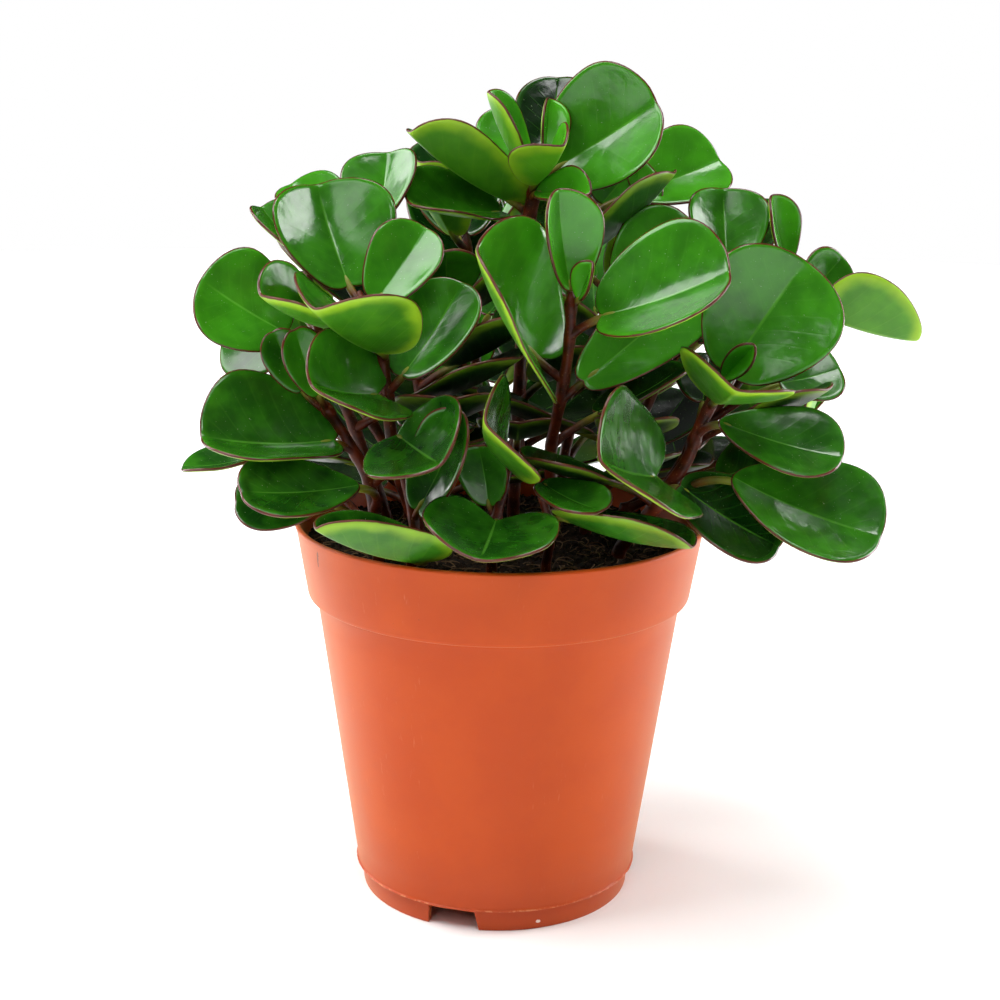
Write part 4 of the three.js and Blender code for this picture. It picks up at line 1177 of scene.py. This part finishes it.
def leaf_material(name, dark, fresh, vein, upper):
    material, tree, shader = new_material(name)
    place = node(tree, "ShaderNodeTexCoord").outputs["Object"]
    along, across, margin, age_and_painted_light = [
        node(tree, "ShaderNodeAttribute", {"attribute_name": key}).outputs["Fac"]
        for key in ("along", "across", "margin", "youth_and_painted_light")]
    beside = node(tree, MATHS, SIZE_OF, {0: across})
    mottle = node(tree, NOISE, {}, {"Vector": place, "Scale": scale_for(7), "Detail": 3})
    mottle = node(tree, RAMP, SMOOTH, {
        "Value": mottle, "From Min": 0.3, "From Max": 0.7, "To Min": -0.10, "To Max": 0.10})
    # the leaf's colour follows its youth, which also holds painted light and painted shade
    freshness_and_painted_light = node(tree, MATHS, PLUS, {0: age_and_painted_light, 1: mottle})
    colour = node(tree, MIX, COLOURS, {0: freshness_and_painted_light, 6: dark, 7: fresh})
    # painted shade: leaves deep in the bush, where the shade of the rest falls, are darkened to
    # nearly black
    shade = node(tree, RAMP, SMOOTH, {
        "Value": age_and_painted_light, "From Min": -0.15, "From Max": 0.02, "To Min": 0.85, "To Max": 0.0})
    colour = node(tree, MIX, COLOURS, {0: shade, 6: colour, 7: "#061c03"})
    # side veins leave the midrib and bow towards the tip
    bow = node(tree, MATHS, {"operation": "POWER"}, {0: beside, 1: 0.7})
    bow = node(tree, MATHS, TIMES, {0: bow, 1: VEIN_BOW})
    course = node(tree, MATHS, MINUS, {0: along, 1: bow})
    course = node(tree, MATHS, TIMES, {0: course, 1: SIDE_VEINS})
    course = node(tree, MATHS, {"operation": "FRACT"}, {0: course})
    from_vein = node(tree, MATHS, MINUS, {0: course, 1: 0.5})
    from_vein = node(tree, MATHS, SIZE_OF, {0: from_vein})
    side_vein = node(tree, RAMP, SMOOTH, {
        "Value": from_vein, "From Min": 0.0, "From Max": 0.09, "To Min": 1.0, "To Max": 0.0})
    inland = node(tree, RAMP, SMOOTH, {"Value": margin, "From Min": 1.5, "From Max": 5.0})
    side_vein = node(tree, MATHS, TIMES, {0: side_vein, 1: inland})
    # the midrib fades out towards the tip
    midrib = node(tree, RAMP, SMOOTH, {
        "Value": beside, "From Min": 0.01, "From Max": 0.035, "To Min": 1.0, "To Max": 0.0})
    fading = node(tree, RAMP, SMOOTH, {
        "Value": along, "From Min": 0.65, "From Max": 0.98, "To Min": 1.0, "To Max": 0.0})
    midrib = node(tree, MATHS, TIMES, {0: midrib, 1: fading})
    pale_side_vein = node(tree, MATHS, TIMES, {0: side_vein, 1: 0.05})
    pale_midrib = node(tree, MATHS, TIMES, {0: midrib, 1: 0.35})
    veins = node(tree, MATHS, {"operation": "MAXIMUM"}, {0: pale_side_vein, 1: pale_midrib})
    colour = node(tree, MIX, COLOURS, {0: veins, 6: colour, 7: vein})
    # the flesh thins towards the margin and lets more light through
    if upper:
        rim = node(tree, RAMP, SMOOTH, {
            "Value": margin, "From Min": 0.6, "From Max": 2.4, "To Min": 0.10, "To Max": 0.0})
        colour = node(tree, MIX, COLOURS, {0: rim, 6: colour, 7: fresh})
        dust = node(tree, NOISE, {}, {"Vector": place, "Scale": scale_for(0.5), "Detail": 1})
        dust = node(tree, RAMP, SMOOTH, {
            "Value": dust, "From Min": 0.74, "From Max": 0.80, "To Min": 0.0, "To Max": 0.4})
        colour = node(tree, MIX, COLOURS, {0: dust, 6: colour, 7: "#c4d2b0"})
    else:
        drift = node(tree, NOISE, {}, {"Vector": place, "Scale": scale_for(9), "Detail": 2})
        drift = node(tree, RAMP, SMOOTH, {
            "Value": drift, "From Min": 0.3, "From Max": 0.7, "To Min": -0.8, "To Max": 0.8})
        lime = node(tree, MATHS, PLUS, {0: margin, 1: drift})
        lime = node(tree, RAMP, SMOOTH, {
            "Value": lime, "From Min": 0.2, "From Max": 4.5, "To Min": 0.80, "To Max": 0.0})
        # the lime is dimmed on old leaves, and more on the leaves in the painted shade inside the
        # bush
        clear = node(tree, RAMP, SMOOTH, {
            "Value": age_and_painted_light, "From Min": 0.0, "From Max": 0.30, "To Min": 0.5, "To Max": 1.0})
        lime = node(tree, MATHS, TIMES, {0: lime, 1: clear})
        colour = node(tree, MIX, COLOURS, {0: lime, 6: colour, 7: "#a4ce28"})
    # the line at the margin, a little wider here and narrower there
    wander = node(tree, NOISE, {}, {"Vector": place, "Scale": scale_for(4), "Detail": 2})
    wander = node(tree, RAMP, SMOOTH, {
        "Value": wander, "From Min": 0.3, "From Max": 0.7, "To Min": -0.05, "To Max": 0.05})
    line = node(tree, MATHS, PLUS, {0: margin, 1: wander})
    line = node(tree, RAMP, SMOOTH, {
        "Value": line, "From Min": LINE_WIDTH * 0.7, "From Max": LINE_WIDTH * 1.3,
        "To Min": 1.0, "To Max": 0.0})
    reds = node(tree, NOISE, {}, {"Vector": place, "Scale": scale_for(5), "Detail": 1})
    line_colour = node(tree, MIX, COLOURS, {0: reds, 6: "#3c140c", 7: "#6c3424"})
    colour = node(tree, MIX, COLOURS, {0: line, 6: colour, 7: line_colour})
    # the relief is in millimetres: above, swells between sunk veins; below, raised veins
    fine = node(tree, NOISE, {}, {"Vector": place, "Scale": scale_for(0.9), "Detail": 3})
    size, least, most = (8, 0.12, 0.23) if upper else (4, 0.34, 0.46)
    rough = node(tree, NOISE, {}, {"Vector": place, "Scale": scale_for(size), "Detail": 3})
    rough = node(tree, RAMP, SMOOTH, {
        "Value": rough, "From Min": 0.3, "From Max": 0.7, "To Min": least, "To Max": most})
    if upper:
        fine = node(tree, MATHS, TIMES, {0: fine, 1: 0.012})
        slow = node(tree, NOISE, {}, {"Vector": place, "Scale": scale_for(9), "Detail": 2})
        slow = node(tree, MATHS, TIMES, {0: slow, 1: 0.30})
        quilt = node(tree, NOISE, {}, {"Vector": place, "Scale": scale_for(3.2), "Detail": 2})
        quilt = node(tree, MATHS, TIMES, {0: quilt, 1: 0.05})
        sunk = node(tree, MATHS, TIMES, {0: side_vein, 1: 0.007})
        relief = node(tree, MATHS, PLUS, {0: fine, 1: slow})
        relief = node(tree, MATHS, PLUS, {0: relief, 1: quilt})
        relief = node(tree, MATHS, MINUS, {0: relief, 1: sunk})
        wire(tree, shader, {"IOR": 1.44, "Coat Weight": 0.10, "Coat Roughness": 0.10})
    else:
        fine = node(tree, MATHS, TIMES, {0: fine, 1: 0.03})
        raised = node(tree, MATHS, TIMES, {0: side_vein, 1: 0.03})
        relief = node(tree, MATHS, PLUS, {0: fine, 1: raised})
        wire(tree, shader, {"IOR": 1.42})
    bump = node(tree, "ShaderNodeBump", {}, {"Height": relief, "Strength": 1.0, "Distance": MM})
    wire(tree, shader, {
        "Base Color": colour, "Roughness": rough, "Normal": bump, "Subsurface Weight": 0.12,
        "Subsurface Radius": (0.5, 1.0, 0.15), "Subsurface Scale": 1.5 * MM})
    return material


leaf_upper = leaf_material("waxy_leaf_upper_side", "#0c3609", "#50b01e", "#6cb83c", True)
leaf_under = leaf_material("satin_leaf_underside", "#22600c", "#66b01e", "#8cc040", False)
for made in (leaf_upper, leaf_under):
    print(made.name, len(made.node_tree.nodes), "nodes")

# %% [markdown]
# ## Stems
# Stems and petioles are juicy rods that follow a path: thick where a petiole joins, and
# thinner towards the blade. Geometry Nodes turn each line of points into a tube whose
# radius is read from the points, and noise keeps its skin from being perfectly round.

# %% Stem tree
STEM_TOP_SHARE = 0.72           # how thick a stem's top is, as a share of its foot
PETIOLE_RADIUS = 1.25


def tube_tree():
    tree = bpy.data.node_groups.new("stem_tubes", "GeometryNodeTree")
    socket_in(tree, "Paths", "NodeSocketGeometry", None)
    socket_in(tree, "Sides", "NodeSocketInt", 12)
    socket_in(tree, "Unevenness", "NodeSocketFloat", 0.00022)
    socket_in(tree, "Unevenness size", "NodeSocketFloat", 0.004)
    socket_in(tree, "Skin", "NodeSocketMaterial", None)
    tree.interface.new_socket("Stems", in_out="OUTPUT", socket_type="NodeSocketGeometry")
    given = node(tree, "NodeGroupInput").outputs
    lines = node(tree, "GeometryNodeMeshToCurve", {}, {"Mesh": given["Paths"]})
    thick = node(tree, "GeometryNodeInputNamedAttribute", {"data_type": "FLOAT"},
                 {"Name": "thick"}).outputs["Attribute"]
    ring = node(tree, "GeometryNodeCurvePrimitiveCircle", {}, {
        "Resolution": given["Sides"], "Radius": 1.0})
    tube = node(tree, "GeometryNodeCurveToMesh", {}, {
        "Curve": lines.outputs["Curve"], "Profile Curve": ring.outputs["Curve"],
        "Scale": thick, "Fill Caps": True})
    scale = node(tree, MATHS, {"operation": "DIVIDE"},
                 {0: 1.0, 1: given["Unevenness size"]}).outputs[0]
    lumps = node(tree, NOISE, {}, {"Scale": scale, "Detail": 1.0})
    centred = node(tree, MATHS, MINUS,
                   {0: lumps.outputs["Fac"], 1: 0.5}).outputs[0]
    amount = node(tree, MATHS, TIMES,
                  {0: centred, 1: given["Unevenness"]}).outputs[0]
    normal = node(tree, "GeometryNodeInputNormal").outputs["Normal"]
    offset = node(tree, VECTORS, {"operation": "SCALE"},
                  {0: normal, "Scale": amount}).outputs[0]
    moved = node(tree, "GeometryNodeSetPosition", {}, {
        "Geometry": tube.outputs["Mesh"], "Offset": offset})
    soft = node(tree, "GeometryNodeSetShadeSmooth", {}, {"Geometry": moved.outputs["Geometry"]})
    real = node(tree, "GeometryNodeRealizeInstances", {}, {"Geometry": soft.outputs["Geometry"]})
    skin = node(tree, "GeometryNodeSetMaterial", {}, {
        "Geometry": real.outputs["Geometry"], "Material": given["Skin"]})
    result = node(tree, "NodeGroupOutput")
    tree.links.new(skin.outputs["Geometry"], result.inputs["Stems"])
    return tree


# %% [markdown]
# ## Stem finish
# Peperomia stems are smooth and juicy, a glossy red-brown that turns green at the petiole's
# upper end, with fine paler specks along them.

# %% Stem finish
stem_skin, tree, shader = new_material("juicy_red_brown_stem")
place = node(tree, "ShaderNodeTexCoord").outputs["Object"]
reds = node(tree, NOISE, {}, {"Vector": place, "Scale": scale_for(4), "Detail": 3})
reds = node(tree, RAMP, SMOOTH, {"Value": reds, "From Min": 0.3, "From Max": 0.7})
red = node(tree, MIX, COLOURS, {0: reds, 6: "#2c0c03", 7: "#5a1f08"})
greens = node(tree, NOISE, {}, {"Vector": place, "Scale": scale_for(3), "Detail": 2})
green = node(tree, MIX, COLOURS, {0: greens, 6: "#6f7a22", 7: "#8f9c34"})
greening = node(tree, "ShaderNodeAttribute", {"attribute_name": "greening"}).outputs["Fac"]
greening = node(tree, RAMP, SMOOTH, {"Value": greening, "From Min": 0.35, "From Max": 1.0})
colour = node(tree, MIX, COLOURS, {0: greening, 6: red, 7: green})
specks = node(tree, NOISE, {}, {"Vector": place, "Scale": scale_for(0.55), "Detail": 1})
specks = node(tree, RAMP, SMOOTH, {"Value": specks, "From Min": 0.68, "From Max": 0.74})
specks = node(tree, MATHS, TIMES, {0: specks, 1: 0.35})
colour = node(tree, MIX, COLOURS, {0: specks, 6: colour, 7: "#b98a5e"})
skin = node(tree, NOISE, {}, {"Vector": place, "Scale": scale_for(1.2), "Detail": 3})
bump = node(tree, "ShaderNodeBump", {}, {"Height": skin, "Strength": 1.0, "Distance": 0.12 * MM})
wire(tree, shader, {
    "Base Color": colour, "Roughness": 0.34, "Normal": bump, "IOR": 1.45,
    "Specular IOR Level": 0.25, "Subsurface Weight": 0.10,
    "Subsurface Radius": (1.0, 0.4, 0.2), "Subsurface Scale": MM})
print(stem_skin.name, len(tree.nodes), "nodes")

# %% Stem and petiole paths
STEM_STEPS = 56
PETIOLE_STEPS = 16
JOINT_SEARCH = 60               # places tried along the stem for a petiole's start
JOIN_SHARE = 0.12               # how far along its blade a petiole runs in
JOIN_DEPTH = 0.25               # how far below the blade's middle surface
NODE_SWELLING = 0.3             # how much thicker a stem is where a petiole leaves it
NODE_REACH = 0.022              # share of the stem that the swelling takes


def petiole_path(points, leaf):
    """Leaves the stem below its blade, bows outwards and runs in under the midrib"""
    end = in_space(leaf, blade_frame(leaf, np.array([JOIN_SHARE]), np.array([0.0]))[0])[0]
    end = end - JOIN_DEPTH * leaf["up"]
    best, start, joint = None, None, 0
    for i in range(JOINT_SEARCH + 1):
        spot = catmull_rom(points, i / JOINT_SEARCH)
        aside = math.hypot(spot[0] - leaf["base"][0], spot[1] - leaf["base"][1])
        miss = abs(leaf["base"][2] - 0.5 * aside - 2 - spot[2])
        miss += 100 if spot[2] < SOIL_Z + 4 else 0
        if best is None or miss < best:
            best, start, joint = miss, spot, i / JOINT_SEARCH
    middle = leaf["base"] - 0.35 * np.linalg.norm(start - leaf["base"]) * leaf["along"]
    t = np.linspace(0, 1, PETIOLE_STEPS)[:, None]
    way = (1 - t) ** 2 * start + 2 * t * (1 - t) * middle + t ** 2 * end
    return way, joint


def shoot_paths(name, shoot, leaves):
    """One mesh of separate lines of points: the stem and each petiole"""
    points = stem_points(shoot["path"])
    shares = np.linspace(0, 1, STEM_STEPS)
    stem = np.array([catmull_rom(points, s) for s in shares])
    radius = shoot["radius"] * (1 - (1 - STEM_TOP_SHARE) * shares)
    lines = []
    t = np.linspace(0, 1, PETIOLE_STEPS)
    for leaf in leaves:
        way, joint = petiole_path(points, leaf)
        radius = radius + NODE_SWELLING * np.exp(-((shares - joint) / NODE_REACH) ** 2)
        own = PETIOLE_RADIUS * min(1, 0.6 + leaf["length"] / 80)
        # wide where it joins the stem, and thin where it runs in under the blade
        thick = own * (1.0 - 0.15 * t + 0.35 * np.exp(-(t / 0.12) ** 2)
                       - 0.45 * np.clip((t - 0.8) / 0.2, 0, 1) ** 2)
        lines.append((way, thick, 0.15 + 0.85 * t ** 1.3))
    radius[-2:] *= (0.75, 0.4)
    lines.insert(0, (stem, radius, 0.1 + 0.25 * shares ** 2))
    mesh = bpy.data.meshes.new(name)
    places = np.concatenate([line[0] for line in lines]) * MM + np.array(AXIS)
    edges, first = [], 0
    for line in lines:
        edges += [(first + i, first + i + 1) for i in range(len(line[0]) - 1)]
        first += len(line[0])
    mesh.from_pydata(places.tolist(), edges, [])
    for key, index, scale in (("thick", 1, MM), ("greening", 2, 1)):
        layer = mesh.attributes.new(key, "FLOAT", "POINT")
        layer.data.foreach_set("value", np.concatenate([line[index] for line in lines]) * scale)
    piece = bpy.data.objects.new(name, mesh)
    bpy.context.scene.collection.objects.link(piece)
    return piece


# %% [markdown]
# ## Growing the plant
# Each shoot becomes two pieces: its stems with petioles, and its blades. Both stand for
# the one solid of that shoot. A seeded draw gives each leaf its own ripple and notch.
# Leaves get fresher in colour towards the top, partly for their youth and partly as
# painted light from above, and the folded young ones are the freshest. Leaves that reach
# out of the bush are painted lighter, for the light they catch, and the leaves inside the
# bush are painted darkest, for the shade of the rest.

# %% Shoots
# leaves are painted lighter with height, partly for the youth of the top leaves and partly as
# painted light from above
OLDEST_Z = 120                  # tips below this are of the oldest leaves
YOUNGEST_Z = 225
OLDEST_YOUTH = 0.05
YOUTH_AND_PAINTED_LIGHT_UPWARDS = 0.44
YOUTH_OF_YOUNG = 0.35           # more for a leaf of the young form
# painted light: leaves whose tips reach out of the bush are painted lighter, for the light they
# catch there
LIGHT_RADIUS = 92               # tips beyond this come out into the light
LIGHT_REACH = 18                # and this much further on they stand in it fully
PAINTED_LIGHT_OUT_OF_BUSH = 0.3
# painted shade: the leaves inside the bush keep only a share of their youth and lose more, so they
# are painted dark
SHADED_SHARE = 0.3              # what the leaves inside the bush keep of it
SHADED_LOSS = 0.28
YOUTH_SPREAD = 0.24             # by chance
SMALL_LEAF = 20
SMALL_STATIONS = 20
SMALL_LANES = 16


def youth_and_painted_light_of(leaf):
    tip = leaf["base"] + leaf["along"] * leaf["length"]
    share = min(1, max(0, (tip[2] - OLDEST_Z) / (YOUNGEST_Z - OLDEST_Z)))
    youth_and_painted_light = OLDEST_YOUTH + YOUTH_AND_PAINTED_LIGHT_UPWARDS * share
    youth_and_painted_light += YOUTH_OF_YOUNG if leaf["form"] == "young" else 0
    in_light = (math.hypot(tip[0], tip[1]) - LIGHT_RADIUS) / LIGHT_REACH
    youth_and_painted_light += PAINTED_LIGHT_OUT_OF_BUSH * min(1, max(0, in_light))
    # painted shade for the leaves inside the bush
    if leaf["inner"]:
        youth_and_painted_light = SHADED_SHARE * youth_and_painted_light - SHADED_LOSS
    return youth_and_painted_light + YOUTH_SPREAD * (leaf["chance"] - 0.5)


def grow_blades(name, leaves):
    places, faces, uppers = [], [], []
    facts = {"along": [], "across": [], "margin": [], "youth_and_painted_light": []}
    first = 0
    for leaf in leaves:
        small = leaf["length"] < SMALL_LEAF
        stations, lanes = (SMALL_STATIONS, SMALL_LANES) if small else (STATIONS, LANES)
        p, f, is_upper, own = make_blade(leaf, stations, lanes)
        places.append(p)
        faces += [[first + i for i in face] for face in f]
        uppers += is_upper
        for key in ("along", "across", "margin"):
            facts[key].append(own[key])
        facts["youth_and_painted_light"].append(np.full(len(p), youth_and_painted_light_of(leaf)))
        first += len(p)
    piece = mesh_piece(name, np.concatenate(places), faces, (leaf_upper, leaf_under),
                       {key: np.concatenate(values) for key, values in facts.items()})
    piece.data.polygons.foreach_set("material_index", [0 if top else 1 for top in uppers])
    return piece


tubes = tube_tree()
rng = np.random.default_rng(7)
leaf_count = 0
for name, shoot in SHOOTS.items():
    points = stem_points(shoot["path"])
    rows = shoot["leaves"] + [fill_leaf(points, *row) for row in shoot.get("fill", [])]
    leaves = [read_leaf(row, rng) for row in rows]
    for i, leaf in enumerate(leaves):
        leaf["inner"] = i >= len(shoot["leaves"])
    stems = grown(shoot_paths(name + "_stems", shoot, leaves), tubes, {"Skin": stem_skin})
    blades = grow_blades(name + "_blades", leaves)
    for piece in (stems, blades):
        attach(piece, "root")
        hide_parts(name)
    leaf_count += len(leaves)
    print(name, len(leaves), "leaves", len(stems.data.polygons) + len(blades.data.polygons))
print("leaves in all", leaf_count)
